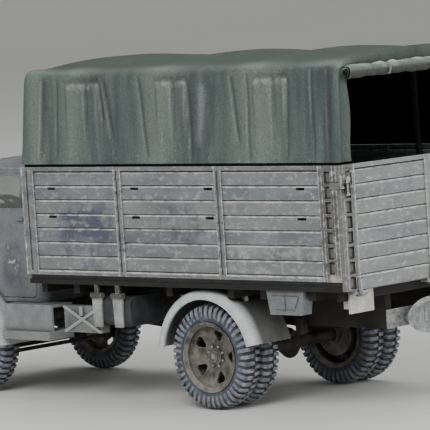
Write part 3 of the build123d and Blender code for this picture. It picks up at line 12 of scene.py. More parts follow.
import bpy
import numpy as np
from mathutils import Matrix, Vector

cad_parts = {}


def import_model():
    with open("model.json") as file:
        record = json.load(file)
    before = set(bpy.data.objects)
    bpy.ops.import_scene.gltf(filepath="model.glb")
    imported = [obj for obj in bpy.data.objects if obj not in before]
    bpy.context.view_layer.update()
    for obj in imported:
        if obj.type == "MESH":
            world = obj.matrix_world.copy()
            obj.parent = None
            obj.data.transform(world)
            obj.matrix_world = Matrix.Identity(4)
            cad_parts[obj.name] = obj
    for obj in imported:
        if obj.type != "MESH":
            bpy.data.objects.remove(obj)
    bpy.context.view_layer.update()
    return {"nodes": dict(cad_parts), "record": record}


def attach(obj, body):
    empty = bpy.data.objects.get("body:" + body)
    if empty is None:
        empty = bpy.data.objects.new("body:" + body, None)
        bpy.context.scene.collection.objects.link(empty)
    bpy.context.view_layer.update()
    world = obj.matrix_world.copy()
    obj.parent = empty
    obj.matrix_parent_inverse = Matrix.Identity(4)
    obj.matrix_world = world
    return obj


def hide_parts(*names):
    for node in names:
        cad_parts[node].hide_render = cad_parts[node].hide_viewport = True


MM = 0.001
FACING = 0.9
LOG = logging.getLogger("lorry")
Socket = bpy.types.NodeSocket
Span = tuple[float, float]
Triple = tuple[float, float, float]


class Side(Enum):
    """Which side of the lorry a fitting is on; the value is the sign of Y."""

    LEFT = 1
    RIGHT = -1

    @property
    def word(self) -> str:
        """The side's name in the node names."""
        return self.name.lower()


# ---------------------------------------------------------------- modelling helpers


def start_clean() -> None:
    """Leaves object mode with nothing selected."""
    if bpy.context.mode != "OBJECT":
        bpy.ops.object.mode_set(mode="OBJECT")
    bpy.ops.object.select_all(action="DESELECT")


def activate(obj: bpy.types.Object) -> None:
    """Makes one object the active one and the only one selected."""
    start_clean()
    bpy.context.view_layer.objects.active = obj
    obj.select_set(True)


def take(name: str) -> bpy.types.Object:
    """Names the primitive that was just added and puts its place into its mesh.

    Args:
        name: The piece's name.

    Returns:
        The primitive's object.
    """
    obj = bpy.context.active_object
    obj.name = name
    obj.data.name = name
    bpy.ops.object.transform_apply(location=True, rotation=True, scale=True)
    return obj


@contextmanager
def editing(obj: bpy.types.Object, keep: str = "") -> Iterator[None]:
    """Edit mode on one object.

    Args:
        obj: The object to edit.
        keep: FACE or EDGE keeps what the code selected of that kind; else all is selected.
    """
    activate(obj)
    bpy.ops.object.mode_set(mode="EDIT")
    if keep:
        bpy.ops.mesh.select_mode(type=keep)
    else:
        bpy.ops.mesh.select_all(action="SELECT")
    yield
    bpy.ops.object.mode_set(mode="OBJECT")


def pick_faces(obj: bpy.types.Object, way: Triple) -> None:
    """Selects the faces that look one way."""
    for face in obj.data.polygons:
        face.select = face.normal.dot(Vector(way)) > FACING


def extrude(x: float, y: float, z: float) -> None:
    """Extrudes the selected faces by a move in millimetres."""
    bpy.ops.mesh.extrude_region_move(TRANSFORM_OT_translate={"value": (x * MM, y * MM, z * MM)})


def face_disc(name: str, sides: int, radius: float, depth: float) -> bpy.types.Object:
    """A short cylinder that faces out along Y, with its outer face selected.

    Args:
        name: Its name.
        sides: How many sides it has.
        radius: Its radius in millimetres.
        depth: Its height over the XZ plane in millimetres.

    Returns:
        The cylinder.
    """
    start_clean()
    bpy.ops.mesh.primitive_cylinder_add(vertices=sides, radius=radius * MM, depth=depth * MM,
                                        location=(0, depth / 2 * MM, 0),
                                        rotation=(-math.pi / 2, 0, 0))
    disc = take(name)
    pick_faces(disc, (0, 1, 0))
    return disc


def block(name: str, middle: Vector, size: Sequence[float]) -> bpy.types.Object:
    """A box by its middle and size in millimetres."""
    start_clean()
    bpy.ops.mesh.primitive_cube_add(size=1, location=middle * MM, scale=[v * MM for v in size])
    return take(name)


def read_points(obj: bpy.types.Object) -> np.ndarray:
    """The mesh's points as an array of rows of three, in metres."""
    flat = np.empty(3 * len(obj.data.vertices))
    obj.data.vertices.foreach_get("co", flat)
    return flat.reshape(-1, 3)


def write_points(obj: bpy.types.Object, points: np.ndarray) -> None:
    """Moves the mesh's points to the rows of an array, in metres."""
    obj.data.vertices.foreach_set("co", points.ravel())
    obj.data.update()


def write_attribute(obj: bpy.types.Object, name: str, values: np.ndarray) -> None:
    """Stores one number per point for a material to read."""
    layer = obj.data.attributes.new(name=name, type="FLOAT", domain="POINT")
    layer.data.foreach_set("value", values.astype(np.float32))


def apply_modifier(obj: bpy.types.Object, kind: str, **settings: object) -> None:
    """Adds a modifier with its settings and applies it.

    Args:
        obj: The object.
        kind: The modifier's type.
        **settings: Its properties by name.
    """
    activate(obj)
    modifier = obj.modifiers.new(kind.title(), kind)
    for key, value in settings.items():
        setattr(modifier, key, value)
    bpy.ops.object.modifier_apply(modifier=modifier.name)


def smooth(obj: bpy.types.Object, angle: float = 35.0) -> None:
    """Shades the faces smooth across edges flatter than an angle in degrees."""
    activate(obj)
    bpy.ops.object.shade_smooth_by_angle(angle=math.radians(angle))


def duplicate(obj: bpy.types.Object, moves: Sequence[Matrix]) -> list[bpy.types.Object]:
    """Copies an object, each copy with its own mesh moved by a matrix.

    Args:
        obj: The piece that is modelled once.
        moves: One matrix per copy.

    Returns:
        The copies.
    """
    copies = []
    for move in moves:
        copy = obj.copy()
        copy.data = obj.data.copy()
        copy.data.transform(move)
        if move.determinant() < 0:
            copy.data.flip_normals()
        bpy.context.collection.objects.link(copy)
        copies.append(copy)
    return copies


def join(name: str, objects: Sequence[bpy.types.Object]) -> bpy.types.Object:
    """Makes one object of several.

    Args:
        name: The finished piece's name.
        objects: The parts; the first gives its materials first.

    Returns:
        The joined object.
    """
    start_clean()
    for obj in objects:
        obj.select_set(True)
    bpy.context.view_layer.objects.active = objects[0]
    if len(objects) > 1:
        bpy.ops.object.join()
    result = bpy.context.active_object
    result.name = name
    result.data.name = name
    return result


def drop(*objects: bpy.types.Object) -> None:
    """Deletes the patterns that the copies were made from."""
    for obj in objects:
        bpy.data.objects.remove(obj, do_unlink=True)


def face_out(obj: bpy.types.Object, inside: Vector) -> None:
    """Turns an open sheet's faces away from a point inside it, in metres."""
    votes = sum((face.center - inside).dot(face.normal) * face.area
                for face in obj.data.polygons)
    if votes < 0:
        obj.data.flip_normals()


# ---------------------------------------------------------------- materials


def linear(code: str) -> tuple[float, float, float, float]:
    """A colour written as sRGB hex, turned to linear values with full alpha."""
    parts = [int(code[at:at + 2], 16) / 255 for at in (1, 3, 5)]
    return tuple(v / 12.92 if v <= 0.04045 else ((v + 0.055) / 1.055) ** 2.4
                 for v in parts) + (1.0,)


class Nodes:
    """The nodes of one material, which read the place in object coordinates."""

    def __init__(self, name: str) -> None:
        """Starts an empty material."""
        self.material = bpy.data.materials.new(name)
        self.material.use_nodes = True
        self.tree = self.material.node_tree
        self.tree.nodes.clear()
        self.place = self.put("TexCoord", out="Object")

    def put(self, kind: str, sets: dict | None = None, out: int | str = 0) -> Socket | None:
        """Adds a node.

        Args:
            kind: The node's type without its prefix.
            sets: Properties and inputs by name or number; a socket is joined, a value is set.
            out: The name or number of the output that is wanted.

        Returns:
            That output, or nothing for a node without outputs.
        """
        node = self.tree.nodes.new("ShaderNode" + kind)
        for key, value in (sets or {}).items():
            if isinstance(value, Socket):
                self.tree.links.new(value, node.inputs[key])
            elif isinstance(key, str) and key in node.bl_rna.properties:
                setattr(node, key, value)
            else:
                node.inputs[key].default_value = value
        return node.outputs[out] if len(node.outputs) else None

    def noise(self, size_mm: float, detail: float, place: Socket | None = None,
              roughness: float = 0.5) -> Socket:
        """A cloud with spots of one size."""
        return self.put("TexNoise", {"Scale": 1 / (size_mm * MM), "Detail": detail,
                                     "Roughness": roughness, "Vector": place or self.place})

    def stretched(self, scale: Triple) -> Socket:
        """The place, scaled along each axis."""
        return self.put("Mapping", {"Scale": scale, "Vector": self.place})

    def axis(self, name: str) -> Socket:
        """The place along one axis, in metres."""
        return self.put("SeparateXYZ", {0: self.place}, name)

    def ramp(self, value: Socket, start: float = 0.0, end: float = 1.0, low: float = 0.0,
             high: float = 1.0, soft: bool = False) -> Socket:
        """Turns start to end into low to high, clamped; soft eases both ends."""
        return self.put("MapRange", {
            "interpolation_type": "SMOOTHSTEP" if soft else "LINEAR", "Value": value,
            "From Min": start, "From Max": end, "To Min": low, "To Max": high})

    def maths(self, operation: str, *terms: float | Socket, clamp: bool = False) -> Socket:
        """One operation on numbers and sockets."""
        return self.put("Math", {"operation": operation, "use_clamp": clamp,
                                 **dict(enumerate(terms))})

    def times(self, first: Socket, *others: float | Socket) -> Socket:
        """The product of a socket and others, from the left."""
        for other in others:
            first = self.maths("MULTIPLY", first, other)
        return first

    def near(self, value: Socket, middle: float, half: float) -> Socket:
        """One within half a width of a middle, nought elsewhere."""
        return self.maths("COMPARE", value, middle, half)

    def over(self, colour: Socket | str, code: str, share: Socket) -> Socket:
        """Lays a colour over another by a share."""
        base = colour if isinstance(colour, Socket) else linear(colour)
        return self.put("Mix", {"data_type": "RGBA", 0: share, 6: base, 7: linear(code)}, 2)

    def bump(self, height: Socket, strength: float, depth_mm: float) -> Socket:
        """A normal that follows a height."""
        return self.put("Bump", {"Strength": strength, "Distance": depth_mm * MM,
                                 "Height": height})

    def surface(self, sets: dict) -> bpy.types.Material:
        """Ends the tree with its shader and hands back the material."""
        self.put("OutputMaterial", {"Surface": self.put("BsdfPrincipled", sets)})
        return self.material


@dataclass(frozen=True)
class Patch:
    """A ragged field of other paint on the lorry's flanks, in millimetres."""

    x_span: Span
    z_span: Span
    colour: str
    share: float
    broken: Span = (0.38, 0.6)
    fringe: Span = (0.8, 1.6)

    def add(self, nodes: Nodes, cloud: Socket, colour: Socket) -> Socket:
        """Paints the field by place along and up the lorry.

        Args:
            nodes: The material's nodes.
            cloud: The noise that breaks the field up.
            colour: The colour so far.

        Returns:
            The colour with the field.
        """
        inside = nodes.ramp(cloud, *self.broken, high=self.share)
        for axis, (low, high) in (("X", self.x_span), ("Z", self.z_span)):
            middle, half = (low + high) / 2 * MM, (high - low) / 2 * MM
            away = nodes.maths("ABSOLUTE", nodes.maths("SUBTRACT", nodes.axis(axis), middle))
            near = nodes.ramp(away, half + self.fringe[0] * MM, half - self.fringe[1] * MM,
                              soft=True)
            inside = nodes.times(inside, near)
        return nodes.over(colour, self.colour, inside)


@dataclass(frozen=True)
class Fade:
    """A second colour that comes in along one axis, from nought at start to share at end."""

    axis: str
    start_mm: float
    end_mm: float
    colour: str
    share: float

    def add(self, nodes: Nodes, colour: Socket) -> Socket:
        """Mixes the second colour in, by the distance from the axis's middle plane."""
        away = nodes.maths("ABSOLUTE", nodes.axis(self.axis))
        share = nodes.ramp(away, self.start_mm * MM, self.end_mm * MM, high=self.share, soft=True)
        return nodes.over(colour, self.colour, share)


@dataclass(frozen=True)
class Finish:
    """Matt enamel sprayed over moulded polystyrene, washed dark and dry-brushed light.

    The eye sees soft mottling a few millimetres wide, a dark wash in the corners that is also
    painted shade, and pale edges.
    """

    name: str
    body: str
    shade: str
    worn: str
    # Dark colour laid in corners and recesses by ambient occlusion: a real wash and painted shade
    wash_and_shade: str = "#1c1a17"
    dust: str = "#8a8478"
    mottle_mm: float = 7.0
    mottle: Span = (0.34, 0.66)
    stretch: Triple = (1.0, 1.0, 1.0)
    edge_mm: float = 0.16
    edge_turn: Span = (0.985, 0.86)
    edge_wear: float = 0.75
    chip_mm: float = 1.3
    wash_and_shade_reach_mm: float = 2.2
    wash_and_shade_share: float = 0.85
    dust_top_mm: float = 0.0
    dust_share: float = 0.8
    dust_cloud_mm: float = 3.5
    roughness: Span = (0.6, 0.82)
    grain_mm: float = 0.35
    relief_mm: float = 0.03
    specular: float = 0.35
    speckle: float = 0.12
    speckle_mm: float = 0.5
    patch_cloud_mm: float = 2.8
    patches: tuple[Patch, ...] = ()
    fades: tuple[Fade, ...] = ()

    def own_colour(self, nodes: Nodes, colour: Socket) -> Socket:
        """Adds the patches of other paint and the fades."""
        cloud = nodes.noise(self.patch_cloud_mm, 7.0)
        for patch in self.patches:
            colour = patch.add(nodes, cloud, colour)
        for fade in self.fades:
            colour = fade.add(nodes, colour)
        return colour

    def stipple(self, nodes: Nodes, colour: Socket) -> Socket:
        """The fine light and dark grain of sprayed enamel."""
        level = nodes.ramp(nodes.noise(self.speckle_mm, 4.0), 0.32, 0.68, 1 - self.speckle,
                           1 + self.speckle)
        return nodes.put("Mix", {"data_type": "RGBA", "blend_type": "MULTIPLY", 0: 1.0,
                                 6: colour, 7: level}, 2)

    def add_edges(self, nodes: Nodes, colour: Socket, air: Socket) -> Socket:
        """Dry-brushed paint where an outer edge turns.

        Args:
            nodes: The material's nodes.
            colour: The colour so far.
            air: How open the surface is, so that inner corners stay dark.

        Returns:
            The colour with pale edges.
        """
        turned = nodes.put("Bevel", {"samples": 4, "Radius": self.edge_mm * MM})
        flat = nodes.put("NewGeometry", out="Normal")
        along = nodes.put("VectorMath", {"operation": "DOT_PRODUCT", 0: turned, 1: flat}, "Value")
        edge = nodes.ramp(along, *self.edge_turn)
        broken = nodes.ramp(nodes.noise(self.chip_mm, 4.0), 0.36, 0.58, high=self.edge_wear)
        return nodes.over(colour, self.worn, nodes.times(edge, broken, air))

    def add_dust(self, nodes: Nodes, colour: Socket) -> Socket:
        """Road dust that thins upwards to a height above the ground."""
        low = nodes.ramp(nodes.axis("Z"), self.dust_top_mm * MM, 0.0, high=self.dust_share)
        thin = nodes.ramp(nodes.noise(self.dust_cloud_mm, 6.0), 0.35, 0.7)
        return nodes.over(colour, self.dust, nodes.times(low, thin))

    def build(self) -> bpy.types.Material:
        """Layers mottle, own marks, grain, a dark corner wash that is also painted shade, worn
        edges and dust.

        Returns:
            The material.
        """
        nodes = Nodes(self.name)
        mottle = nodes.noise(self.mottle_mm, 5.0, nodes.stretched(self.stretch), 0.62)
        colour = nodes.over(self.shade, self.body, nodes.ramp(mottle, *self.mottle))
        colour = self.stipple(nodes, self.own_colour(nodes, colour))
        # Ambient occlusion darkens corners and recesses: a dark wash, and painted shade where less
        # light reaches
        air = nodes.put("AmbientOcclusion", {"samples": 6, "Distance": self.wash_and_shade_reach_mm * MM},
                        "AO")
        hollow = nodes.ramp(air, 0.9, 0.25, high=self.wash_and_shade_share, soft=True)
        colour = self.add_edges(nodes, nodes.over(colour, self.wash_and_shade, hollow), air)
        if self.dust_top_mm:
            colour = self.add_dust(nodes, colour)
        return nodes.surface({
            "Specular IOR Level": self.specular, "IOR": 1.5, "Base Color": colour,
            "Roughness": nodes.ramp(mottle, low=self.roughness[0], high=self.roughness[1]),
            "Normal": nodes.bump(nodes.noise(self.grain_mm, 3.0), 0.6, self.relief_mm)})


@dataclass(frozen=True)
class BoardFinish(Finish):
    """The bed's enamel: a pale worn edge under every seam that is also a painted highlight, dark
    seams, painted shade in the posts' cells, over-paint.

    Bands are a middle and half a width, as shares of one board from its upper seam down.
    """

    seam_top_mm: float = 60.2
    pitch_mm: float = 3.62
    tint: str = "#96988f"
    tint_share: float = 0.3
    # Pale wear colour, also a painted highlight along each board's top edge
    pale_wear_and_highlight: str = "#d3d6d3"
    lip_band: Span = (0.12, 0.065)
    seam: str = "#232526"
    seam_band: Span = (0.025, 0.04)
    scuff_mm: float = 1.1
    scuff_stretch: Triple = (0.6, 0.6, 1.1)
    run_axis: str = "X"
    mirrored: bool = False
    board_spans: tuple[Span, ...] = ()
    pale_spans: tuple[Span, ...] = ()
    # Dark colours painted as shade in the posts' recessed cells and along their rims
    cell_shade: str = "#66655f"
    cell_rim_shade: str = "#303234"
    cell_middle_mm: float = 0.0
    cell_half_mm: float = 0.0
    cell_rim_mm: float = 0.3
    cell_band: Span = (0.52, 0.3)
    cell_rim_band: Span = (0.5, 0.42)
    cell_rows: float = 7.0

    def own_colour(self, nodes: Nodes, colour: Socket) -> Socket:
        """Adds the boards' own tints, the patches, the pale worn lips with their painted
        highlight, the seams, and painted shade in the posts' cells.

        Args:
            nodes: The material's nodes.
            colour: The mottled colour.

        Returns:
            The colour of the boards.
        """
        run = nodes.axis(self.run_axis)
        if self.mirrored:
            run = nodes.maths("ABSOLUTE", run)
        down = nodes.maths("SUBTRACT", self.seam_top_mm * MM, nodes.axis("Z"))
        boards = nodes.maths("DIVIDE", down, self.pitch_mm * MM)
        within = nodes.maths("FRACT", boards)
        tint = nodes.put("TexWhiteNoise", {"noise_dimensions": "1D",
                                           "W": nodes.maths("FLOOR", boards)}, "Value")
        colour = nodes.over(colour, self.tint, nodes.ramp(tint, high=self.tint_share))
        colour = super().own_colour(nodes, colour)
        scuffs = nodes.noise(self.scuff_mm, 8.0, nodes.stretched(self.scuff_stretch))
        worn = nodes.ramp(scuffs, 0.28, 0.56, high=0.9)
        rubbed = nodes.ramp(scuffs, 0.36, 0.66, high=0.75)
        on_boards = self.spans_mask(nodes, run, self.board_spans)
        rows = nodes.near(boards, self.cell_rows / 2, self.cell_rows / 2)
        middle, half = self.cell_middle_mm * MM, self.cell_half_mm
        rim = nodes.near(run, middle, half * MM)
        core = nodes.near(run, middle, (half - self.cell_rim_mm) * MM)
        # Pale scuffs, pale worn lips that are also a painted highlight, dark seams, painted shade
        # in the posts' cells, pale rubbed strips
        for code, share in (
                (self.pale_wear_and_highlight, nodes.ramp(scuffs, 0.55, 0.75, high=0.35)),
                (self.pale_wear_and_highlight, nodes.times(nodes.near(within, *self.lip_band), on_boards, worn)),
                (self.seam, nodes.times(nodes.near(within, *self.seam_band), on_boards)),
                (self.cell_rim_shade, nodes.times(rim, rows, nodes.near(within, *self.cell_rim_band))),
                (self.cell_shade, nodes.times(core, rows, nodes.near(within, *self.cell_band))),
                (self.pale_wear_and_highlight, nodes.times(self.spans_mask(nodes, run, self.pale_spans), rubbed))):
            colour = nodes.over(colour, code, share)
        return colour

    def spans_mask(self, nodes: Nodes, run: Socket, spans: tuple[Span, ...]) -> Socket:
        """One inside any of the spans along the boards, nought outside.

        Args:
            nodes: The material's nodes.
            run: Place along the boards.
            spans: The stretches in millimetres.

        Returns:
            The mask.
        """
        mask = nodes.times(run, 0.0)
        for low, high in spans:
            inside = nodes.near(run, (low + high) / 2 * MM, (high - low) / 2 * MM)
            mask = nodes.maths("ADD", mask, inside, clamp=True)
        return mask


@dataclass(frozen=True)
class CanvasFinish(Finish):
    """The moulded cover's enamel: green roof, grey-green walls, pale over the hoops.

    It reads the cover's own attributes: band (pale over a hoop), roof, crease (painted shade),
    ridge (painted highlight), and the brown streak attribute, which is also painted shade under
    the roll.
    """

    roof: str = "#424d43"
    band: str = "#6d7a71"
    # Painted shade in the folds, a painted highlight on their lit edges, and a brown streak that
    # is also painted shade under the roll
    crease: str = "#262c2b"
    ridge: str = "#b2beb6"
    stain_and_shade: str = "#4f4846"
    weave_mm: float = 0.8
    fleck_mm: float = 1.0
    fleck_share: float = 0.6
    fleck_top_mm: float = 70.0
    fleck_low_mm: float = 62.5

    def own_colour(self, nodes: Nodes, colour: Socket) -> Socket:
        """Mixes in the attributes' colours, then pale flecks along the foot.

        Args:
            nodes: The material's nodes.
            colour: The mottled colour.

        Returns:
            The colour of the cloth.
        """
        fine = nodes.ramp(nodes.noise(self.weave_mm, 4.0), low=0.55, high=1.3)
        # The fold colour is painted shade, the ridge colour a painted highlight, and the brown
        # under the rolled flap partly painted shade
        for name, code in (("band", self.band), ("roof", self.roof), ("crease", self.crease),
                           ("ridge", self.ridge), ("stain_and_shade", self.stain_and_shade)):
            value = nodes.put("Attribute", {"attribute_name": name}, "Fac")
            colour = nodes.over(colour, code, nodes.maths("MULTIPLY", value, fine, clamp=True))
        fleck = nodes.ramp(nodes.noise(self.fleck_mm, 3.0), 0.66, 0.78, high=self.fleck_share)
        low = nodes.ramp(nodes.axis("Z"), self.fleck_top_mm * MM, self.fleck_low_mm * MM)
        return nodes.over(colour, self.ridge, nodes.times(fleck, low))


@dataclass(frozen=True)
class TyreFinish(Finish):
    """Black styrene painted as dusty rubber, with dry-brushed lugs (attribute lug)."""

    lug: str = "#8d9196"
    lug_cloud_mm: float = 1.6

    def own_colour(self, nodes: Nodes, colour: Socket) -> Socket:
        """Lightens the lugs in broken strokes."""
        broken = nodes.ramp(nodes.noise(self.lug_cloud_mm, 5.0), 0.32, 0.62)
        raised = nodes.put("Attribute", {"attribute_name": "lug"}, "Fac")
        return nodes.over(colour, self.lug, nodes.times(raised, broken))


@dataclass(frozen=True)
class ClearStyrene:
    """Clear moulded polystyrene for window panes and lamp lenses, a little dusty.

    The eye sees through it, with a thin haze that breaks the reflection.
    """

    name: str
    tint: str = "#e6ece9"
    dust: str = "#c9cdc4"
    haze_mm: float = 4.0
    roughness: Span = (0.02, 0.12)
    relief_mm: float = 0.02

    def build(self) -> bpy.types.Material:
        """Makes the clear material."""
        nodes = Nodes(self.name)
        haze = nodes.noise(self.haze_mm, 1.0)
        return nodes.surface({
            "Transmission Weight": 0.92, "IOR": 1.59,
            "Base Color": nodes.over(self.tint, self.dust, haze),
            "Roughness": nodes.ramp(haze, low=self.roughness[0], high=self.roughness[1]),
            "Normal": nodes.bump(haze, 0.1, self.relief_mm)})


@dataclass(frozen=True)
class MattFloor:
    """Pale matt studio card; the eye sees a very faint, wide cloud."""

    name: str = "pale floor"
    dark: str = "#e9e8e5"
    light: str = "#efeeec"
    cloud_mm: float = 250.0

    def build(self) -> bpy.types.Material:
        """Makes the floor's material."""
        nodes = Nodes(self.name)
        colour = nodes.over(self.dark, self.light, nodes.noise(self.cloud_mm, 3.0))
        return nodes.surface({"Roughness": 0.9, "Specular IOR Level": 0.2, "Base Color": colour})


class Paint(Enum):
    """The finishes of the model, by the part they are on."""

    CHASSIS = Finish("chassis black-brown enamel", "#2b2824", "#1a1917", "#605a52",
                     dust_top_mm=24.0, dust="#645d52", edge_wear=0.5)
    SIDES = BoardFinish(
        "bed sides grey enamel", "#7d8184", "#606467", "#d6d8d4", mottle_mm=6.0,
        stretch=(0.5, 0.5, 1.4),
        board_spans=((-77.2, -45.35), (-42.85, -10.25), (-7.75, 21.8)),
        pale_spans=((-83.0, -82.75), (-81.9, -81.65), (-78.45, -78.2), (-77.45, -77.2),
                    (-45.35, -45.05), (-43.15, -42.85), (-10.25, -9.95), (-8.05, -7.75),
                    (21.8, 22.1), (25.95, 26.4)),
        cell_middle_mm=-80.1, cell_half_mm=0.95,
        patches=(Patch((-86.0, -76.6), (30.0, 61.4), "#514e4a", 0.85, (0.25, 0.55)),
                 Patch((-86.0, -74.0), (30.0, 36.4), "#b9b3a6", 0.8, (0.48, 0.62)),
                 Patch((-6.2, 11.6), (47.0, 53.0), "#4b5060", 0.6, (0.42, 0.62)),
                 Patch((-6.8, 14.4), (42.3, 50.6), "#454a5c", 0.8, (0.3, 0.54)),
                 Patch((-6.0, 12.4), (37.6, 45.4), "#505566", 0.65, (0.34, 0.6)),
                 Patch((-2.0, 6.8), (33.8, 41.0), "#565b69", 0.5, (0.38, 0.6)),
                 Patch((-37.0, -22.0), (41.4, 52.6), "#4d515b", 0.6, (0.36, 0.6)),
                 Patch((-76.0, -46.0), (34.0, 42.5), "#b9bab4", 0.35, (0.5, 0.62))))
    GATE = BoardFinish(
        "tailgate grey enamel", "#8b8f90", "#707476", "#dcded9", mottle_mm=5.0,
        stretch=(0.5, 0.5, 1.4), run_axis="Y", mirrored=True, board_spans=((1.25, 27.05),),
        pale_spans=((31.1, 31.4), (27.1, 27.45), (0.9, 1.25)), cell_middle_mm=29.7,
        cell_half_mm=0.95, cell_rows=8.0, fades=(Fade("Y", 27.3, 28.2, "#57544f", 0.6),))
    HEADBOARD = BoardFinish(
        "headboard grey enamel", "#868a8b", "#696d6f", "#cdd0cc", mottle_mm=6.0,
        stretch=(0.5, 0.5, 1.4), run_axis="Y", mirrored=True, board_spans=((-1.0, 31.4),))
    BED_INNER = Finish("bed floor enamel", "#5d6060", "#464949", "#8f908c", mottle_mm=6.0)
    FENDER = Finish("fender pale grey enamel", "#bcc1c0", "#a5aaaa", "#e2e3de",
                    dust_top_mm=24.0, dust="#a8a195", mottle_mm=8.0, edge_wear=0.5,
                    wash_and_shade_share=0.7)
    # The rear mudguards darken inwards from 29 to 26.2 mm off the middle: painted shade under the
    # body
    MUDGUARD = Finish("mudguard pale grey enamel", "#d0d5d4", "#b6bcbc", "#ecede8",
                      dust_top_mm=22.0, dust="#b3ac9f", mottle_mm=5.0, edge_wear=0.6,
                      wash_and_shade_share=0.75, fades=(Fade("Y", 29.0, 26.2, "#34322f", 0.9),))
    LOCKER = Finish("locker grey enamel", "#7c8181", "#5c6161", "#d3d6d2", dust_top_mm=24.0,
                    dust="#8b857a", mottle_mm=4.0, edge_wear=0.8, wash_and_shade_share=0.9,
                    fades=(Fade("Y", 30.65, 30.85, "#b9bdba", 0.5),))
    TANK_STRAP = Finish("tank strap pale enamel", "#aeb1ad", "#888b8a", "#e6e7e2",
                        mottle_mm=2.2, wash_and_shade_reach_mm=1.4,
                        fades=(Fade("Z", 26.6, 28.0, "#3a3632", 0.85),
                               Fade("Z", 22.0, 20.4, "#6e5a50", 0.4)))
    STEPS = Finish("step grey enamel", "#8d9292", "#747979", "#c5c8c5", dust_top_mm=24.0,
                   dust="#8b857a", mottle_mm=5.0, edge_wear=0.6, wash_and_shade_share=0.9,
                   wash_and_shade_reach_mm=3.0)
    CAB = Finish("cab grey enamel", "#7e8284", "#63676a", "#bcbfbd",
                 patches=(Patch((35.6, 43.6), (28.5, 41.0), "#4c4b56", 0.6, (0.3, 0.55)),
                          Patch((37.4, 41.6), (32.5, 40.0), "#c4c6c1", 0.75, (0.56, 0.62))))
    CANVAS = CanvasFinish("moulded canvas green enamel", "#57635f", "#394345", "#8d9a8c",
                          mottle_mm=6.0, stretch=(1.5, 1.0, 0.2), edge_wear=0.2,
                          wash_and_shade_share=0.4, grain_mm=0.28, relief_mm=0.08,
                          roughness=(0.62, 0.85), speckle=0.2, speckle_mm=0.4)
    # Near-black as painted shade: the cover's inner wall, and the strip in the shadow under the
    # cover's edge
    CANVAS_INNER = Finish("unlit inside of the cover", "#171a18", "#0e100f", "#262a26",
                          edge_wear=0.1, specular=0.1)
    TYRE = TyreFinish("tyre dusty black enamel", "#545d6a", "#343b46", "#aab0b8",
                      dust_top_mm=18.0, dust="#6b6a68", mottle_mm=2.6, roughness=(0.75, 0.92),
                      wash_and_shade_share=0.95, wash_and_shade_reach_mm=1.4)
    # The wide, strong corner darkening of the wheel is a dark wash and painted shade cast into the
    # dished disc by its rim and the mudguard
    WHEEL = Finish("wheel dusty beige enamel", "#77736a", "#34322f", "#cbc8bd", mottle_mm=2.4,
                   wash_and_shade="#12100e", wash_and_shade_share=0.97, wash_and_shade_reach_mm=4.2, dust_top_mm=15.0,
                   dust="#b8b3a6", edge_wear=0.85)
    HUB = Finish("hub worn enamel", "#a29f95", "#66635c", "#dcd9ce", mottle_mm=1.2,
                 wash_and_shade="#12100e", wash_and_shade_share=0.97, wash_and_shade_reach_mm=1.0, edge_wear=0.9)
    STEEL = Finish("dark grey enamel", "#434546", "#2f3133", "#7f8180", mottle_mm=4.0)
    SEAT = Finish("bench brown enamel", "#59422f", "#40301f", "#8c7355", mottle_mm=3.0,
                  grain_mm=0.5, relief_mm=0.08)
    PLATE = Finish("blank plate pale enamel", "#cfcdc4", "#b3b1a8", "#e6e5df", mottle_mm=5.0,
                   wash_and_shade_share=0.6)
    PALE_METAL = Finish("worn pale enamel", "#a4a6a4", "#6c6f70", "#ecede9", mottle_mm=1.8,
                        wash_and_shade_reach_mm=1.6, wash_and_shade_share=0.95, edge_wear=0.95)
    GLASS = ClearStyrene("clear styrene panes")


class PaintShop:
    """Builds each finish once and lays it on nodes and pieces."""

    def __init__(self) -> None:
        """Starts with no material built."""
        self.built: dict[Paint, bpy.types.Material] = {}

    def get(self, paint: Paint) -> bpy.types.Material:
        """The material of a finish, built at its first use."""
        if paint not in self.built:
            self.built[paint] = paint.value.build()
        return self.built[paint]

    def coat(self, obj: bpy.types.Object, paint: Paint) -> None:
        """Puts a finish on a whole object.

        Args:
            obj: A CAD node or a new piece.
            paint: The finish.
        """
        material = self.get(paint)
        if not obj.material_slots:
            obj.data.materials.append(material)
        for slot in obj.material_slots:
            slot.material = material


SLOT_PAINTS = {
    "frame_black": Paint.CHASSIS, "bed_grey": Paint.SIDES, "fender_grey": Paint.FENDER,
    "cab_grey": Paint.CAB, "canvas_green": Paint.CANVAS, "tyre": Paint.TYRE,
    "wheel_dust": Paint.WHEEL, "steel_dark": Paint.STEEL, "glass": Paint.GLASS,
    "seat": Paint.SEAT, "plate": Paint.PLATE, "coupling_light": Paint.PALE_METAL,
}
NODE_PAINTS = {
    "bed_floor": Paint.BED_INNER, "tail_sill": Paint.PALE_METAL, "stowage_bins": Paint.CAB,
    "tailgate": Paint.GATE, "rear_mudguard_left": Paint.MUDGUARD,
    "rear_mudguard_right": Paint.MUDGUARD, "tank_straps": Paint.TANK_STRAP,
    "bed_headboard": Paint.HEADBOARD, "steps": Paint.STEPS, "locker": Paint.LOCKER,
}


def paint_nodes(frame: dict, shop: PaintShop) -> None:
    """Gives every CAD node its enamel by its name or its record slot.

    Args:
        shop: The finishes.
    """
    slots = {row["node"]: row["material_slot"] for row in frame["record"]["subparts"]}
    for name, obj in frame["nodes"].items():
        shop.coat(obj, NODE_PAINTS.get(name, SLOT_PAINTS[slots[name]]))
    LOG.info("painted %d nodes", len(frame["nodes"]))


def place_piece(obj: bpy.types.Object, body: str, slot: str, *nodes: str) -> None:
    """Hangs a piece on the body it rides on and hides the nodes it stands for."""
    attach(obj, body)
    if nodes:
        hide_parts(*nodes)
    LOG.info("%s: %d faces on %s", obj.name, len(obj.data.polygons), body)


# ---------------------------------------------------------------- cover


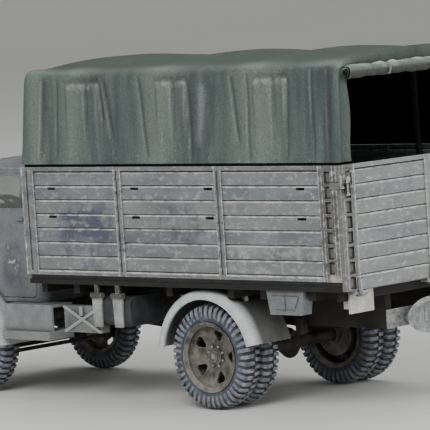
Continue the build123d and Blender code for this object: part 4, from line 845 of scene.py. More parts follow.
def bell(distance: np.ndarray, width: float) -> np.ndarray:
    """A bell curve of a distance, one at its middle."""
    return np.exp(-(distance / width) ** 2)


def step(value: np.ndarray, low: float, high: float) -> np.ndarray:
    """A smooth rise from nought at low to one at high."""
    share = np.clip((value - low) / (high - low), 0, 1)
    return share * share * (3 - 2 * share)


@dataclass
class Look:
    """The cloth's relief in millimetres and its colour attributes, one number a point."""

    move: np.ndarray
    band: np.ndarray
    roof: np.ndarray
    crease: np.ndarray
    ridge: np.ndarray
    stain_and_shade: np.ndarray

    def darken(self, values: np.ndarray) -> None:
        """Brings the crease attribute, the painted shade, up to some values."""
        self.crease = np.maximum(self.crease, values)

    def lighten(self, values: np.ndarray) -> None:
        """Brings the ridge attribute, the painted highlight, up to some values."""
        self.ridge = np.maximum(self.ridge, values)


@dataclass(frozen=True)
class Crease:
    """A fold that runs down the side from (top_x, top_z) to (low_x, low_z)."""

    top_x: float
    low_x: float
    top_z: float
    low_z: float
    depth: float
    width: float
    wander: float = 0.07
    press_share: float = 0.7
    # Strength of the painted shade in the fold and of the painted highlight along its front
    dark: float = 0.6
    pale: float = 0.2

    def press(self, look: Look, x: np.ndarray, z: np.ndarray, side: np.ndarray) -> None:
        """Presses the fold into the cloth, with painted shade in it and a painted highlight along
        its front.

        Args:
            look: The relief and colours, which are changed.
            x: Place along the bed.
            z: Height.
            side: One on the sides, nought on the roof.
        """
        down = np.clip((self.top_z - z) / (self.top_z - self.low_z), 0, 1)
        line = (self.top_x + (self.low_x - self.top_x) * down
                + self.wander * np.sin(z * 0.45 + self.top_x))
        ends = (step(z, self.low_z - 1.0, self.low_z + 2.5)
                * step(z, self.top_z + 1.2, self.top_z - 0.8) * side)
        fold = bell(x - line, self.width) * ends
        look.move = look.move - self.press_share * self.depth * fold
        look.darken(self.dark / max(1.0, self.width) * fold)
        look.lighten(self.pale * bell(x - line - 1.5 * self.width, 0.5 * self.width) * ends)


@dataclass(frozen=True)
class Pleat:
    """A flat pad under the shoulder, by its rear and front edge along the bed."""

    rear: float
    front: float
    top_z: float = 82.1
    edge: float = 0.3
    stand: float = 0.34
    tuck: float = 0.3
    arch: float = 0.4
    fade_z: Span = (62.0, 78.0)

    def press(self, look: Look, x: np.ndarray, z: np.ndarray, side: np.ndarray) -> None:
        """Raises the pad, with painted shade in the tuck above it and along its edges, and a
        painted highlight on its top and rear edges.

        Args:
            look: The relief and colours, which are changed.
            x: Place along the bed.
            z: Height.
            side: One on the sides, nought on the roof.
        """
        rear, front, edge = self.rear, self.front, self.edge
        across = step(x, rear - edge, rear + edge) * step(x, front + edge, front - edge) * side
        middle, half = (rear + front) / 2, (front - rear) / 2
        top = (self.top_z - self.arch * ((x - middle) / half) ** 2
               + 0.16 * np.sin(3.1 * x + rear))
        below = step(z, top + 0.35, top - 0.25)
        fade = step(z, *self.fade_z)
        above = bell(z - top - 1.0, 0.9)
        look.move = look.move + across * (self.stand * below * fade - self.tuck * above)
        patchy = 0.65 + 0.35 * np.sin(1.7 * x + 2.0 * rear)
        look.lighten(0.5 * patchy * across * bell(z - top + 0.3, 0.55))
        look.darken(0.45 * across * above)
        bend = 0.45 * np.clip(z - self.top_z, 0, 3.0)
        edges = bell(x - front - bend, edge) + bell(x - rear - bend, edge)
        look.darken(0.5 * edges * fade * step(z, self.top_z + 3.4, self.top_z + 0.8) * side)
        look.lighten(0.2 * bell(x - rear - 0.9, 0.35) * fade * below * side)


@dataclass
class Canvas:
    """The moulded cover: one shell over five hoops, wrapped round the rear opening."""

    shop: PaintShop
    rear_x: float = -84.0
    rear_gap: float = 0.15
    rear_round: float = 0.9
    front_x: float = 26.9
    front_lean: float = 2.6
    bottom_z: float = 61.9
    shoulder_z: float = 85.2
    crown_z: float = 88.3
    half_bottom: float = 32.0
    half_shoulder: float = 31.1
    shoulder_round: float = 3.0
    corner_round: float = 1.2
    opening_half: float = 27.1
    opening_top_z: float = 82.0
    wall: float = 0.45
    hoops: tuple[float, ...] = (-80.9, -56.1, -24.7, 6.7, 21.6)
    hoop_reach: float = 6.5
    # Sagging stretches of the roof: middle, depth below the crown, radius
    hollows: tuple[Triple, ...] = ((-3.5, 2.2, 100.0), (-41.0, 2.2, 60.0), (-70.5, 1.8, 38.0))
    hollow_blend: float = 0.25
    # Pale stretches over the hoops: middle and width
    pale_bands: tuple[Span, ...] = ((7.0, 5.5), (-23.5, 8.0), (-58.0, 9.0), (20.5, 3.5))
    pleats: tuple[Pleat, ...] = (
        Pleat(1.5, 8.7), Pleat(-3.0, 0.9), Pleat(-29.5, -24.0), Pleat(-34.2, -30.1),
        Pleat(-63.3, -57.0), Pleat(-67.6, -63.9))
    creases: tuple[Crease, ...] = (
        Crease(12.0, 12.8, 83.0, 63.0, 0.25, 0.5), Crease(-5.0, -7.6, 82.5, 68.0, 0.35, 0.7),
        Crease(-3.6, -4.4, 82.0, 72.0, 0.25, 0.5), Crease(-17.6, -20.2, 83.0, 63.0, 0.25, 0.6),
        Crease(-34.6, -35.6, 82.0, 62.0, 0.3, 0.5), Crease(-42.5, -41.0, 81.0, 66.0, 0.3, 2.2),
        Crease(-49.4, -51.8, 83.0, 66.5, 0.35, 0.6),
        Crease(-55.0, -55.2, 83.0, 62.0, 0.25, 0.5),
        Crease(-67.9, -67.4, 82.0, 62.0, 0.28, 0.5),
        Crease(-76.0, -76.2, 84.0, 62.0, 0.22, 0.5),
        Crease(-81.3, -81.2, 85.0, 62.0, 0.2, 0.45), Crease(17.0, 18.6, 83.0, 63.0, 0.2, 0.7))
    stain_x: float = -80.9
    rear_sag: float = 0.5
    corner_rise: float = 0.45
    # Sags of the roof's left half near the front: start, end, depth
    front_sags: tuple[Triple, ...] = ((7.0, 18.0, 0.65), (21.5, 26.9, 0.5))
    # Near-black strip as painted shadow under the cover's edge: inset from the ends, reach across,
    # middle height and height
    shadow_strip_inset: float = 1.2
    shadow_strip_y: Span = (30.9, 31.3)
    shadow_strip_middle_z: float = 61.65
    shadow_strip_height: float = 0.9
    along: int = 190
    around: int = 156
    rear_rows: int = 8
    front_rows: int = 18

    def section(self) -> tuple[np.ndarray, np.ndarray]:
        """The arch's outline from the left foot over the crown to the right foot.

        Returns:
            Points (y, z) and outward normals, evenly spaced along the outline.
        """
        sag = self.crown_z - self.shoulder_z
        radius = (self.half_shoulder ** 2 + sag ** 2) / (2 * sag)
        centre = np.array([0.0, self.crown_z - radius])
        foot = np.array([self.half_bottom, self.bottom_z])
        run = np.array([self.half_shoulder, self.shoulder_z]) - foot
        length = float(np.hypot(*run))
        run /= length
        inward = np.array([-run[1], run[0]])
        # Halving finds where the shoulder's round touches both the wall and the roof
        low, high = 0.0, length
        for _ in range(40):
            middle = (low + high) / 2
            round_centre = foot + run * middle + inward * self.shoulder_round
            if np.hypot(*(round_centre - centre)) < radius - self.shoulder_round:
                low = middle
            else:
                high = middle
        start = math.atan2(-inward[1], -inward[0])
        out = round_centre - centre
        end = math.atan2(out[1], out[0])
        wall = [foot + run * low * share for share in np.linspace(0, 1, 80)]
        turn = [round_centre + self.shoulder_round * np.array([math.cos(a), math.sin(a)])
                for a in np.linspace(start, end, 24)[1:]]
        roof = [centre + radius * np.array([math.cos(a), math.sin(a)])
                for a in np.linspace(end, math.pi / 2, 90)[1:]]
        half = np.array(wall + turn + roof)
        whole = np.vstack([half, (half * [-1, 1])[-2::-1]])
        reach = np.concatenate([[0], np.cumsum(np.hypot(*np.diff(whole, axis=0).T))])
        even = np.linspace(0, reach[-1], self.around + 1)
        points = np.stack([np.interp(even, reach, whole[:, axis]) for axis in (0, 1)], 1)
        tangent = np.gradient(points, axis=0)
        tangent /= np.hypot(*tangent.T)[:, None]
        return points, np.stack([tangent[:, 1], -tangent[:, 0]], 1)

    def relief(self, x: np.ndarray, y: np.ndarray, z: np.ndarray) -> Look:
        """How far the cloth stands in or out, and what colour it takes there.

        Args:
            x: Place along the bed.
            y: Place across it.
            z: Height.

        Returns:
            The outward move and the colour attributes.
        """
        over_hoop = np.max([bell(x - at, self.hoop_reach) for at in self.hoops], axis=0)
        band = np.max([bell(x - at, width) for at, width in self.pale_bands], axis=0)
        roof = step(z, self.shoulder_z - 1.2, self.shoulder_z + 1.0)
        side = 1 - roof
        ripple = (0.12 * np.sin(x * 0.53 + 0.06 * z + np.sign(y))
                  + 0.08 * np.sin(x * 1.31 - 0.11 * z))
        move = -0.2 * roof * (1 - over_hoop) * step(np.abs(y), 33.0, 24.0)
        move = move - side * (0.5 * (1 - over_hoop) * step(z, 61.9, 67.0) + 0.12 + ripple * 0.6)
        move = move + 0.12 * roof * np.sin(x * 0.31 + y * 0.23) * (1 - over_hoop)
        stain_and_shade = 0.7 * bell(x - self.stain_x, 0.6) * side * (0.6 + 0.4 * np.sin(0.9 * z))
        look = Look(move, 0.85 * band * side, 0.92 * roof * (1 - 0.3 * over_hoop),
                    np.zeros_like(x), np.zeros_like(x), stain_and_shade)
        for fold in self.creases + self.pleats:
            fold.press(look, x, z, side)
        # A painted highlight along the shoulder, strongest over the hoops
        look.lighten(0.3 * bell(z - self.shoulder_z - 0.2, 0.7) * (0.4 + 0.6 * over_hoop))
        return look

    def front_plane(self, z: np.ndarray) -> np.ndarray:
        """Where the leaning front panel stands at a height."""
        return (self.front_x
                - self.front_lean * (z - self.bottom_z) / (self.crown_z - self.bottom_z))

    def sag(self, x: np.ndarray, y: np.ndarray, z: np.ndarray, roof: np.ndarray) -> np.ndarray:
        """Lets the roof down between the hoops and at both ends.

        Args:
            x: Place along the bed.
            y: Place across it.
            z: Height.
            roof: The roof attribute.

        Returns:
            The new heights.
        """
        ceiling = np.min([self.crown_z - deep + (x - at) ** 2 / (2 * bend)
                          for at, deep, bend in self.hollows], axis=0)
        z = z - self.hollow_blend * np.logaddexp(0, (z - ceiling) / self.hollow_blend)
        for start, end, depth in self.front_sags:
            z = z - depth * step(x, start, end) * roof * step(y, -16.0, -2.0) * step(y, 29.0, 21.0)
        z = z + (self.corner_rise * step(x, 12.0, 24.0) * bell(np.abs(y) - 29.0, 3.0)
                 * step(z, 83.0, 85.0))
        return z - self.rear_sag * bell(x - self.rear_x, 3.5) * roof * step(np.abs(y), 27.0, 18.0)

    def build(self) -> None:
        """Wraps a grid round the arch, turns its ends in and gives it its wall."""
        start_clean()
        total = self.rear_rows + self.along + self.front_rows
        bpy.ops.mesh.primitive_grid_add(x_subdivisions=total, y_subdivisions=self.around, size=1)
        cover = take("canvas_cover")
        grid = read_points(cover)
        station = (grid[:, 0] + 0.5) * total
        row = np.rint((grid[:, 1] + 0.5) * self.around).astype(int)
        points, normals = self.section()
        y, z = points[row].T
        front = self.front_plane(z)
        share = np.clip((station - self.rear_rows) / self.along, 0, 1)
        x = self.rear_x + self.rear_gap + (front - self.rear_x - self.rear_gap) * share
        look = self.relief(x, y, z)
        corner, edge = self.corner_round, self.rear_round
        from_front = np.clip(corner - (front - x), 0, corner)
        from_rear = np.clip(edge - (x - self.rear_x - self.rear_gap), 0, edge)
        tuck = corner - np.sqrt(corner ** 2 - from_front ** 2)
        tuck = tuck + edge - np.sqrt(edge ** 2 - from_rear ** 2)
        held = (1 - step(from_front, 0, corner)) * (1 - 0.7 * step(from_rear, 0, edge))
        out = look.move * held - tuck
        y = y + normals[row, 0] * out
        z = self.sag(x, y, z + normals[row, 1] * out, look.roof)
        # The rear rows turn in round the opening
        wrap = np.clip(1 - station / self.rear_rows, 0, 1)
        below_top = z < self.opening_top_z
        inner_y = np.clip(y, -self.opening_half, self.opening_half)
        inner_z = np.where(np.abs(y) > self.opening_half, np.minimum(z, self.opening_top_z),
                           self.opening_top_z)
        hem = 0.35 * np.sin(z * 0.35 + 1.0) * wrap * below_top
        y = y + (inner_y - y) * wrap + hem * np.sign(y) * -1
        z = z + (inner_z - z) * wrap
        x = x + 0.5 * np.sin(wrap * math.pi) * (z < self.opening_top_z)
        # The front rows close as a flat fan to the middle of the foot
        close = np.clip((station - self.rear_rows - self.along) / self.front_rows, 0, 1)
        z = np.maximum(z, self.bottom_z)
        y = y * (1 - close)
        z = z - (z - self.bottom_z) * close
        x = np.where(close > 0, self.front_plane(z), x)
        write_points(cover, np.stack([x, y, z], 1) * MM)
        dim = np.where(wrap > 0, 0.5, 1.0) * (1 - step(close, 0.0, 0.08))
        write_attribute(cover, "band", look.band * dim)
        write_attribute(cover, "roof", np.maximum(look.roof * dim, 0.55 * (wrap > 0)))
        write_attribute(cover, "crease", look.crease * dim)
        write_attribute(cover, "ridge", look.ridge * dim)
        write_attribute(cover, "stain_and_shade", look.stain_and_shade * dim)
        with editing(cover):
            bpy.ops.mesh.remove_doubles(threshold=0.02 * MM)
        face_out(cover, Vector((-30, 0, 70)) * MM)
        self.shop.coat(cover, Paint.CANVAS)
        # The inner wall takes the near-black inside colour, painted shade inside the cover
        cover.data.materials.append(self.shop.get(Paint.CANVAS_INNER))
        apply_modifier(cover, "SOLIDIFY", thickness=self.wall * MM, offset=-1.0, use_rim=True,
                       material_offset=1)
        smooth(cover, 50.0)
        place_piece(cover, "chassis", "canvas_green", "tarp")
        self.build_shadow_strip()

    def build_shadow_strip(self) -> None:
        """A near-black strip on the boards' top edge under the cover, set back from its face:
        painted shadow in the gap under the cover's edge.
        """
        strips = []
        rear, front = self.rear_x + self.shadow_strip_inset, self.front_x - self.shadow_strip_inset
        inner, outer = self.shadow_strip_y
        for low, high in (((rear, -outer), (front, -inner)), ((rear, inner), (front, outer)),
                          ((front - (outer - inner), -outer), (front, outer))):
            middle = Vector(((low[0] + high[0]) / 2, (low[1] + high[1]) / 2, self.shadow_strip_middle_z))
            strip = block("shadow_strip_piece", middle, (high[0] - low[0], high[1] - low[1],
                                                self.shadow_strip_height))
            pick_faces(strip, (0, 0, 1))
            with editing(strip, "FACE"):
                bpy.ops.mesh.inset(thickness=0.1 * MM)
                bpy.ops.transform.translate(value=(0, 0, 0.12 * MM))
            strips.append(strip)
        # The joined strips are painted shadow in the gap under the cover's edge
        hem = join("cover_shadow_strip", strips)
        self.shop.coat(hem, Paint.CANVAS_INNER)
        place_piece(hem, "chassis", "canvas_green")


@dataclass
class RolledFlap:
    """The rear flap, rolled up over the opening and held by two ties."""

    shop: PaintShop
    centre_x: float = -85.12
    centre_z: float = 83.05
    radius: float = 1.86
    half_length: float = 29.4
    turns: float = 2.3
    start_angle: float = math.radians(75)
    wall: float = 0.16
    ties: tuple[float, ...] = (14.2, -14.2)
    tie_radius: float = 1.4
    tie_cord: float = 0.12
    tie_breadth: float = 3.2
    knot: float = 0.3
    knot_out: float = 0.75
    knot_drop: float = 1.15

    def build(self) -> None:
        """Winds a grid into a roll, pinched at the ties, and adds the tie bands."""
        start_clean()
        bpy.ops.mesh.primitive_grid_add(x_subdivisions=150, y_subdivisions=110, size=1)
        roll = take("rolled_flap")
        grid = read_points(roll)
        along = grid[:, 0] * 2 * self.half_length
        wound = grid[:, 1] + 0.5
        pinch = np.max([bell(along - at, 1.3) for at in self.ties], axis=0)
        angle = self.start_angle + wound * self.turns * 2 * math.pi
        swell = (0.1 * np.sin(along * 0.55 + 2 * np.cos(angle))
                 + 0.09 * np.sin(along * 1.3 + 3 * angle))
        near_tie = np.max([bell(np.abs(along - at) - 1.8, 1.2) for at in self.ties], axis=0)
        folds = 0.12 * near_tie * np.sin(9 * angle)
        size = (self.radius - 0.12 - 1.2 * wound) + (swell - 0.42 * pinch - 0.1 + folds) * (
            1 - 0.6 * wound)
        end = np.clip((np.abs(along) - self.half_length + 1.2) / 1.2, 0, 1)
        along = along - np.sign(along) * 0.5 * end * (1 - wound)
        x = self.centre_x + size * np.cos(angle)
        z = (self.centre_z + size * np.sin(angle) - 0.25 * (along / self.half_length) ** 2
             + 0.1)
        write_points(roll, np.stack([x, along, z], 1) * MM)
        # Painted light on the roll: a highlight along its top, painted shade on its underside, in
        # its inner turns and at the pinches; the brown under it is partly painted shade
        outside = 1 - step(wound, 0.4, 0.6)
        shade = np.cos(angle - self.start_angle)
        wave = 0.6 + 0.4 * np.sin(along * 0.9 + 2.5 * angle)
        under = step(-shade, -0.35, 0.4)
        write_attribute(roll, "band", 0.9 * outside)
        write_attribute(roll, "roof", 0.1 * outside)
        write_attribute(roll, "crease", np.clip(1 - outside + 0.3 * pinch + 0.9 * under, 0, 1))
        write_attribute(roll, "ridge", outside * (
            0.85 * wave * step(shade, 0.35, 0.95) + 0.3 * near_tie) * (1 - under))
        write_attribute(roll, "stain_and_shade", outside * 0.35 * under)
        face_out(roll, Vector((self.centre_x, 0, self.centre_z)) * MM)
        apply_modifier(roll, "SOLIDIFY", thickness=self.wall * MM, offset=0.0, use_rim=True)
        smooth(roll, 50.0)
        self.shop.coat(roll, Paint.CANVAS)
        place_piece(roll, "chassis", "canvas_green", "tarp_roll")
        self.build_ties()

    def build_ties(self) -> None:
        """Flat bands round the roll at each pinch, with a knot below."""
        bands = []
        for at in self.ties:
            start_clean()
            bpy.ops.mesh.primitive_torus_add(
                location=(self.centre_x * MM, at * MM, (self.centre_z + 0.05) * MM),
                rotation=(math.pi / 2, 0, 0), major_radius=self.tie_radius * MM,
                minor_radius=self.tie_cord * MM, major_segments=36, minor_segments=8)
            band = take("tie_band")
            points = read_points(band)
            points[:, 1] = (points[:, 1] - at * MM) * self.tie_breadth + at * MM
            write_points(band, points)
            place = ((self.centre_x - self.knot_out) * MM, at * MM,
                     (self.centre_z - self.knot_drop) * MM)
            start_clean()
            bpy.ops.mesh.primitive_uv_sphere_add(segments=12, ring_count=8,
                                                 radius=self.knot * MM, location=place)
            knot = take("tie_knot")
            with editing(knot):
                bpy.ops.transform.resize(value=(1.0, 1.5, 0.8), center_override=place)
            bands += [band, knot]
        ties = join("flap_ties", bands)
        smooth(ties)
        for name, value in (("band", 0.0), ("roof", 0.0), ("crease", 0.0), ("ridge", 0.3)):
            write_attribute(ties, name, np.full(len(ties.data.vertices), value))
        self.shop.coat(ties, Paint.CANVAS)
        place_piece(ties, "chassis", "canvas_green")


# ---------------------------------------------------------------- wheels


@dataclass(frozen=True)
class AxleEnd:
    """One wheel body: its name, its tyre node and where its tyres, hub and nuts stand."""

    body: str
    tyre_node: str
    side: Side
    axle_x: float
    tyre_y: tuple[float, ...]
    hub_face_y: float
    nut_y: float
    axle_z: float = 13.3


def axle_ends() -> list[AxleEnd]:
    """The lorry's four wheel bodies."""
    ends = []
    for side in Side:
        ends.append(AxleEnd(f"wheel_front_{side.word}", f"tyre_front_{side.word}", side,
                            axle_x=56.9, tyre_y=(23.0,), hub_face_y=26.0, nut_y=24.9))
        ends.append(AxleEnd(f"wheels_rear_{side.word}", f"tyres_rear_{side.word}", side,
                            axle_x=-34.5, tyre_y=(26.6, 19.9), hub_face_y=27.2, nut_y=26.6))
    return ends


@dataclass
class LuggedTyre:
    """A cross-country tyre: smooth inner sidewall and bars that run over the shoulder."""

    shop: PaintShop
    lugs: int = 44
    around: int = 132
    ring_radius: float = 10.5
    ring_thickness: float = 2.0
    # Carcass section as (radius, half width), from the bead over the shoulder to the tread
    profile: tuple[Span, ...] = (
        (8.2, 2.15), (8.75, 2.5), (9.4, 2.66), (10.2, 2.68), (11.1, 2.58), (11.9, 2.3),
        (12.35, 1.7), (12.5, 0.8), (12.5, 0.0))
    # A bar's stations: inner and outer corner as (radius, across), then half its breadth
    stations: tuple[tuple[Span, Span, float], ...] = (
        ((9.75, 2.55), (9.95, 2.78), 0.34), ((11.2, 2.4), (11.3, 2.86), 0.44),
        ((12.3, 1.85), (12.65, 2.5), 0.5), ((12.42, 1.2), (12.98, 1.75), 0.5),
        ((12.42, 0.15), (13.24, 0.2), 0.46))
    bar_step: float = 0.2
    bar_lean: float = 0.25
    bar_bevel: float = 0.1
    turn_per_mm: float = 0.06

    def carcass(self) -> bpy.types.Object:
        """Shapes a torus to the tyre's section.

        Returns:
            The carcass, with its axle along Y.
        """
        ring = list(self.profile) + [(radius, -width) for radius, width in self.profile[-2::-1]]
        start_clean()
        bpy.ops.mesh.primitive_torus_add(
            rotation=(math.pi / 2, 0, 0), major_radius=self.ring_radius * MM,
            minor_radius=self.ring_thickness * MM, major_segments=self.around,
            minor_segments=len(ring))
        tyre = take("tyre_carcass")
        points = read_points(tyre)
        turn = np.arctan2(points[:, 2], points[:, 0])
        lean = np.arctan2(points[:, 1],
                          np.hypot(points[:, 0], points[:, 2]) - self.ring_radius * MM)
        place = np.rint((math.pi - lean) / (2 * math.pi) * len(ring)).astype(int) % len(ring)
        radius, width = np.array(ring)[place].T
        write_points(tyre, np.stack([radius * np.cos(turn), width,
                                     radius * np.sin(turn)], 1) * MM)
        with editing(tyre):
            bpy.ops.mesh.normals_make_consistent(inside=False)
        write_attribute(tyre, "lug", np.zeros(len(tyre.data.vertices)))
        return tyre

    def lug(self) -> bpy.types.Object:
        """One bar: foot on the sidewall, over the shoulder, half way across the tread.

        Returns:
            The bar, at the top of the wheel.
        """
        start_clean()
        bpy.ops.mesh.primitive_cube_add(size=self.bar_step * MM, location=(0, 0, 10 * MM))
        bar = take("tyre_lug")
        # A new cube comes wholly selected; only its top is to be drawn out
        with editing(bar):
            bpy.ops.mesh.select_all(action="DESELECT")
        for _ in self.stations[2:]:
            top = max(bar.data.polygons, key=lambda face: face.center.z)
            for face in bar.data.polygons:
                face.select = face.index == top.index
            with editing(bar, "FACE"):
                extrude(0, 0, self.bar_step)
        points = read_points(bar)
        levels = np.unique(np.round(points[:, 2], 7))
        shaped = points.copy()
        for level, (inner, outer, breadth) in zip(levels, self.stations):
            lean = self.bar_lean * (level - levels[0]) / (levels[-1] - levels[0])
            for at in np.flatnonzero(np.abs(points[:, 2] - level) < 1e-6):
                radius, across = outer if points[at, 1] > 0 else inner
                shaped[at] = ((math.copysign(breadth, points[at, 0]) + lean) * MM, across * MM,
                              radius * MM)
        write_points(bar, shaped)
        with editing(bar):
            bpy.ops.mesh.normals_make_consistent(inside=False)
        apply_modifier(bar, "BEVEL", width=self.bar_bevel * MM, segments=1,
                       limit_method="ANGLE", angle_limit=math.radians(40))
        write_attribute(bar, "lug", np.ones(len(bar.data.vertices)))
        return bar

    def build(self) -> None:
        """Models one tyre, then stands a copy at every place on the axles."""
        carcass, bar = self.carcass(), self.lug()
        pitch = 2 * math.pi / self.lugs
        moves = [Matrix.Rotation(pitch * i, 4, "Y") for i in range(self.lugs)]
        mirror = Matrix.Diagonal((1, -1, 1, 1))
        moves += [Matrix.Rotation(pitch * (i + 0.5), 4, "Y") @ mirror for i in range(self.lugs)]
        tyre = join("lugged_tyre", [carcass] + duplicate(bar, moves))
        drop(bar)
        smooth(tyre, 32.0)
        for end in axle_ends():
            places = [
                Matrix.Translation(Vector((end.axle_x, end.side.value * y, end.axle_z)) * MM)
                @ Matrix.Rotation(self.turn_per_mm * y, 4, "Y") for y in end.tyre_y]
            piece = join("lugged_" + end.tyre_node, duplicate(tyre, places))
            self.shop.coat(piece, Paint.TYRE)
            place_piece(piece, end.body, "tyre", end.tyre_node)
        drop(tyre)


@dataclass
class WheelTrim:
    """Wheel nuts, hub ring and grease cap on each wheel's outer face."""

    shop: PaintShop
    nuts: int = 8
    nut_circle: float = 2.55
    nut_size: float = 0.34
    nut_height: float = 0.5
    cap_radius: float = 1.5
    cap_height: float = 0.4
    # Each step of the cap: how far its face is drawn in, then how far it rises
    cap_steps: tuple[Span, ...] = ((0.22, 0.3), (0.35, -0.16), (0.3, 0.22))
    seat: float = 0.05

    def nut(self) -> bpy.types.Object:
        """A domed hexagon nut on its stud, facing out along Y."""
        nut = face_disc("wheel_nut", 6, self.nut_size, self.nut_height)
        with editing(nut, "FACE"):
            bpy.ops.mesh.inset(thickness=0.1 * MM)
            extrude(0, 0.16, 0)
            bpy.ops.transform.resize(value=(0.75, 1, 0.75))
        return nut

    def cap(self) -> bpy.types.Object:
        """The hub's flange ring with its raised grease cap."""
        cap = face_disc("hub_cap", 32, self.cap_radius, self.cap_height)
        with editing(cap, "FACE"):
            for inset, rise in self.cap_steps:
                bpy.ops.mesh.inset(thickness=inset * MM)
                extrude(0, rise, 0)
        return cap

    def build(self) -> None:
        """Sets the nuts and the cap on every wheel."""
        nut, cap = self.nut(), self.cap()
        for end in axle_ends():
            centre = (Matrix.Translation(Vector((end.axle_x, 0, end.axle_z)) * MM)
                      @ Matrix.Diagonal((1, end.side.value, 1, 1)))
            out = Matrix.Translation(Vector((self.nut_circle, end.nut_y - self.seat, 0)) * MM)
            turns = [Matrix.Rotation(2 * math.pi * (index + 0.5) / self.nuts, 4, "Y")
                     for index in range(self.nuts)]
            parts = duplicate(nut, [centre @ turn @ out for turn in turns])
            face = Matrix.Translation((0, (end.hub_face_y - self.seat) * MM, 0))
            parts += duplicate(cap, [centre @ face])
            piece = join(f"wheel_nuts_{end.body}", parts)
            smooth(piece, 30.0)
            self.shop.coat(piece, Paint.HUB)
            place_piece(piece, end.body, "wheel_dust")
        drop(nut, cap)


# ---------------------------------------------------------------- small fittings


@dataclass
class BoardBolts:
    """Round-headed bolts that hold the boards of both sides to the dividers."""

    shop: PaintShop
    head: float = 0.3
    height: float = 0.22
    face_y: float = 32.35
    seat: float = 0.06
    seam_top_z: float = 60.2
    pitch: float = 3.62
    boards: int = 7
    board_share: float = 0.55
    columns: tuple[float, ...] = (-44.1, -9.0)
    column_half: float = 0.7

    def bolt(self) -> bpy.types.Object:
        """One domed head facing out along Y."""
        bolt = face_disc("round_bolt", 8, self.head, self.height)
        with editing(bolt, "FACE"):
            bpy.ops.mesh.inset(thickness=0.09 * MM)
            bpy.ops.transform.translate(value=(0, 0.08 * MM, 0))
        return bolt

    def build(self) -> None:
        """Bolts the boards down along the dividers of both sides."""
        bolt = self.bolt()
        for side in Side:
            places = [Vector((column + offset, side.value * (self.face_y - self.seat),
                              self.seam_top_z - (board + self.board_share) * self.pitch)) * MM
                      for column in self.columns for board in range(self.boards)
                      for offset in (-self.column_half, self.column_half)]
            mirror = Matrix.Diagonal((1, side.value, 1, 1))
            piece = join(f"board_bolts_{side.word}", duplicate(
                bolt, [Matrix.Translation(place) @ mirror for place in places]))
            smooth(piece)
            self.shop.coat(piece, Paint.CAB)
            place_piece(piece, "chassis", "bed_grey")
        drop(bolt)


@dataclass
class GateLatch:
    """The lever, pivot, rivets and raised edges on each latch plate of the tailgate."""

    shop: PaintShop
    plate_x: float = -84.65
    middle_y: float = 30.5
    middle_z: float = 57.9
    pivot_radius: float = 0.62
    pivot_length: float = 0.75
    rivet: float = 0.26
    rivet_y: float = 1.55
    rivet_z: float = 1.7
    dome: float = 0.3
    lever_size: Triple = (0.3, 0.75, 3.0)
    # Raised edges: their reach across and up from the plate's middle
    edges: tuple[tuple[Span, Span], ...] = (
        ((-2.2, -1.9), (-2.1, 2.1)), ((-2.2, 2.2), (-2.15, -1.75)), ((1.85, 2.25), (-2.1, 1.0)))
    edge_height: float = 0.3

    def rod(self, name: str, radius: float, length: float, place: Vector) -> bpy.types.Object:
        """A short domed pin facing back along X.

        Args:
            name: Its name.
            radius: Its radius.
            length: Its length.
            place: The middle of its foot.

        Returns:
            The pin.
        """
        start_clean()
        bpy.ops.mesh.primitive_cylinder_add(
            vertices=14, radius=radius * MM, depth=length * MM,
            location=(place - Vector((length / 2, 0, 0))) * MM, rotation=(0, -math.pi / 2, 0))
        pin = take(name)
        pick_faces(pin, (-1, 0, 0))
        with editing(pin, "FACE"):
            bpy.ops.mesh.inset(thickness=self.dome * radius * MM)
            bpy.ops.transform.translate(value=(-self.dome * radius * MM, 0, 0))
        return pin

    def lever(self) -> bpy.types.Object:
        """A flat lever that hangs from the pivot and swells to a thumb end."""
        middle = Vector((self.plate_x - 0.42, self.middle_y, self.middle_z - 1.5))
        bar = block("latch_lever", middle, self.lever_size)
        pick_faces(bar, (0, 0, -1))
        with editing(bar, "FACE"):
            extrude(-0.25, 0.35, -0.9)
            bpy.ops.transform.resize(value=(1.3, 1.5, 1.0))
        apply_modifier(bar, "BEVEL", width=0.1 * MM, segments=2)
        return bar

    def strip(self, across: Span, up: Span) -> bpy.types.Object:
        """A raised edge of the latch plate, by its reach across and up."""
        middle = Vector((self.plate_x - 0.08, self.middle_y + sum(across) / 2,
                         self.middle_z + sum(up) / 2))
        bar = block("latch_edge", middle, (self.edge_height, across[1] - across[0],
                                           up[1] - up[0]))
        apply_modifier(bar, "BEVEL", width=0.07 * MM, segments=2)
        return bar

    def build(self) -> None:
        """Fits the latch of the left corner and mirrors it to the right."""
        pivot = Vector((self.plate_x + 0.05, self.middle_y, self.middle_z))
        parts = [self.rod("latch_pivot", self.pivot_radius, self.pivot_length, pivot),
                 self.lever()]
        parts += [self.rod("latch_rivet", self.rivet, self.rivet,
                           pivot + Vector((0, across, up)))
                  for across in (-self.rivet_y, self.rivet_y)
                  for up in (-self.rivet_z, self.rivet_z)]
        parts += [self.strip(across, up) for across, up in self.edges]
        latch = join("gate_latch", parts)
        smooth(latch)
        for side in Side:
            piece = duplicate(latch, [Matrix.Diagonal((1, side.value, 1, 1))])[0]
            piece.name = piece.data.name = f"gate_latch_{side.word}"
            self.shop.coat(piece, Paint.PALE_METAL)
            place_piece(piece, "tailgate", "bed_grey")
        drop(latch)


# ---------------------------------------------------------------- studio


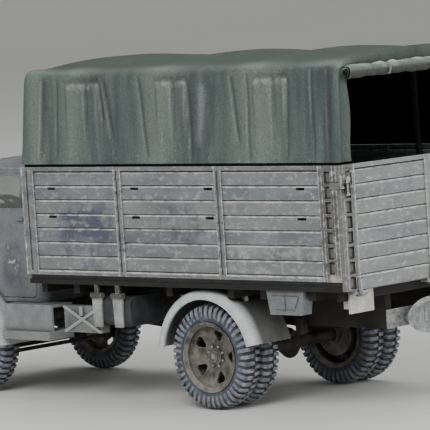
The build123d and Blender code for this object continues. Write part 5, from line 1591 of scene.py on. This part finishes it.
@dataclass(frozen=True)
class SoftLight:
    """A square soft light: where it hangs and its edge in metres, its power in watts."""

    name: str
    place: Triple
    size: float
    power: float
    aim: Triple = (-0.02, 0, 0.04)

    def hang(self) -> None:
        """Adds the light, turned towards the model."""
        data = bpy.data.lights.new(self.name, "AREA")
        data.energy = self.power
        data.size = self.size
        light = bpy.data.objects.new(self.name, data)
        light.location = self.place
        back = Vector(self.place) - Vector(self.aim)
        light.rotation_euler = back.to_track_quat("Z", "Y").to_euler()
        bpy.context.collection.objects.link(light)


@dataclass
class Studio:
    """Pale floor, soft lights and the camera that looks from the left rear, in metres."""

    eye: Triple = (-0.59651, 0.60629, 0.11063)
    right: Triple = (-0.72152, -0.68938, -0.06452)
    up: Triple = (0.00660, -0.10003, 0.99496)
    back: Triple = (-0.69236, 0.71746, 0.07672)
    lens: float = 273.2
    sensor: float = 36.0
    floor_half: float = 3.0
    # The floor's rim turns up far away: each step's rise and growth
    rims: tuple[Span, ...] = ((0.04, 1.12), (0.12, 1.1), (0.24, 1.08), (0.4, 1.05), (0.6, 1.03))
    lights: tuple[SoftLight, ...] = (
        SoftLight("key_light", (-0.6, 0.95, 0.8), 0.7, 12.5),
        SoftLight("fill_light", (-1.25, -0.15, 0.45), 0.9, 6.8),
        SoftLight("top_light", (0.2, -0.4, 1.2), 0.9, 4.5))
    sky: str = "#e9eaec"
    sky_strength: float = 0.45

    def build(self) -> None:
        """Sets up the camera, the floor, the lights and the sky."""
        self.set_camera()
        self.lay_floor()
        for light in self.lights:
            light.hang()
        world = bpy.data.worlds.new("studio_air")
        world.use_nodes = True
        air = world.node_tree.nodes["Background"]
        air.inputs["Color"].default_value = linear(self.sky)
        air.inputs["Strength"].default_value = self.sky_strength
        bpy.context.scene.world = world

    def set_camera(self) -> None:
        """The long lens at the photograph's place."""
        data = bpy.data.cameras.new("camera")
        data.lens = self.lens
        data.sensor_width = self.sensor
        data.clip_start = 0.01
        camera = bpy.data.objects.new("camera", data)
        axes = Matrix((self.right, self.up, self.back)).transposed()
        camera.matrix_world = Matrix.Translation(self.eye) @ axes.to_4x4()
        bpy.context.collection.objects.link(camera)
        bpy.context.scene.camera = camera

    def lay_floor(self) -> None:
        """A pale matt floor that curves up far away into a low rim."""
        start_clean()
        bpy.ops.mesh.primitive_circle_add(vertices=96, radius=self.floor_half, fill_type="NGON")
        floor = take("studio_floor")
        with editing(floor):
            bpy.ops.mesh.select_all(action="DESELECT")
        for edge in floor.data.edges:
            edge.select = True
        for rise, grow in self.rims:
            with editing(floor, "EDGE"):
                bpy.ops.mesh.extrude_edges_move(TRANSFORM_OT_translate={"value": (0, 0, rise)})
                bpy.ops.transform.resize(value=(grow, grow, 1), center_override=(0, 0, 0))
        smooth(floor, 60.0)
        floor.data.materials.append(MattFloor().build())


def main() -> None:
    """Loads the frame, dresses it and sets the studio."""
    logging.basicConfig(level=logging.INFO, format="%(name)s: %(message)s")
    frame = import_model()
    shop = PaintShop()
    Studio().build()
    paint_nodes(frame, shop)
    Canvas(shop).build()
    RolledFlap(shop).build()
    LuggedTyre(shop).build()
    WheelTrim(shop).build()
    BoardBolts(shop).build()
    GateLatch(shop).build()
    start_clean()


if __name__ == "__main__":
    main()
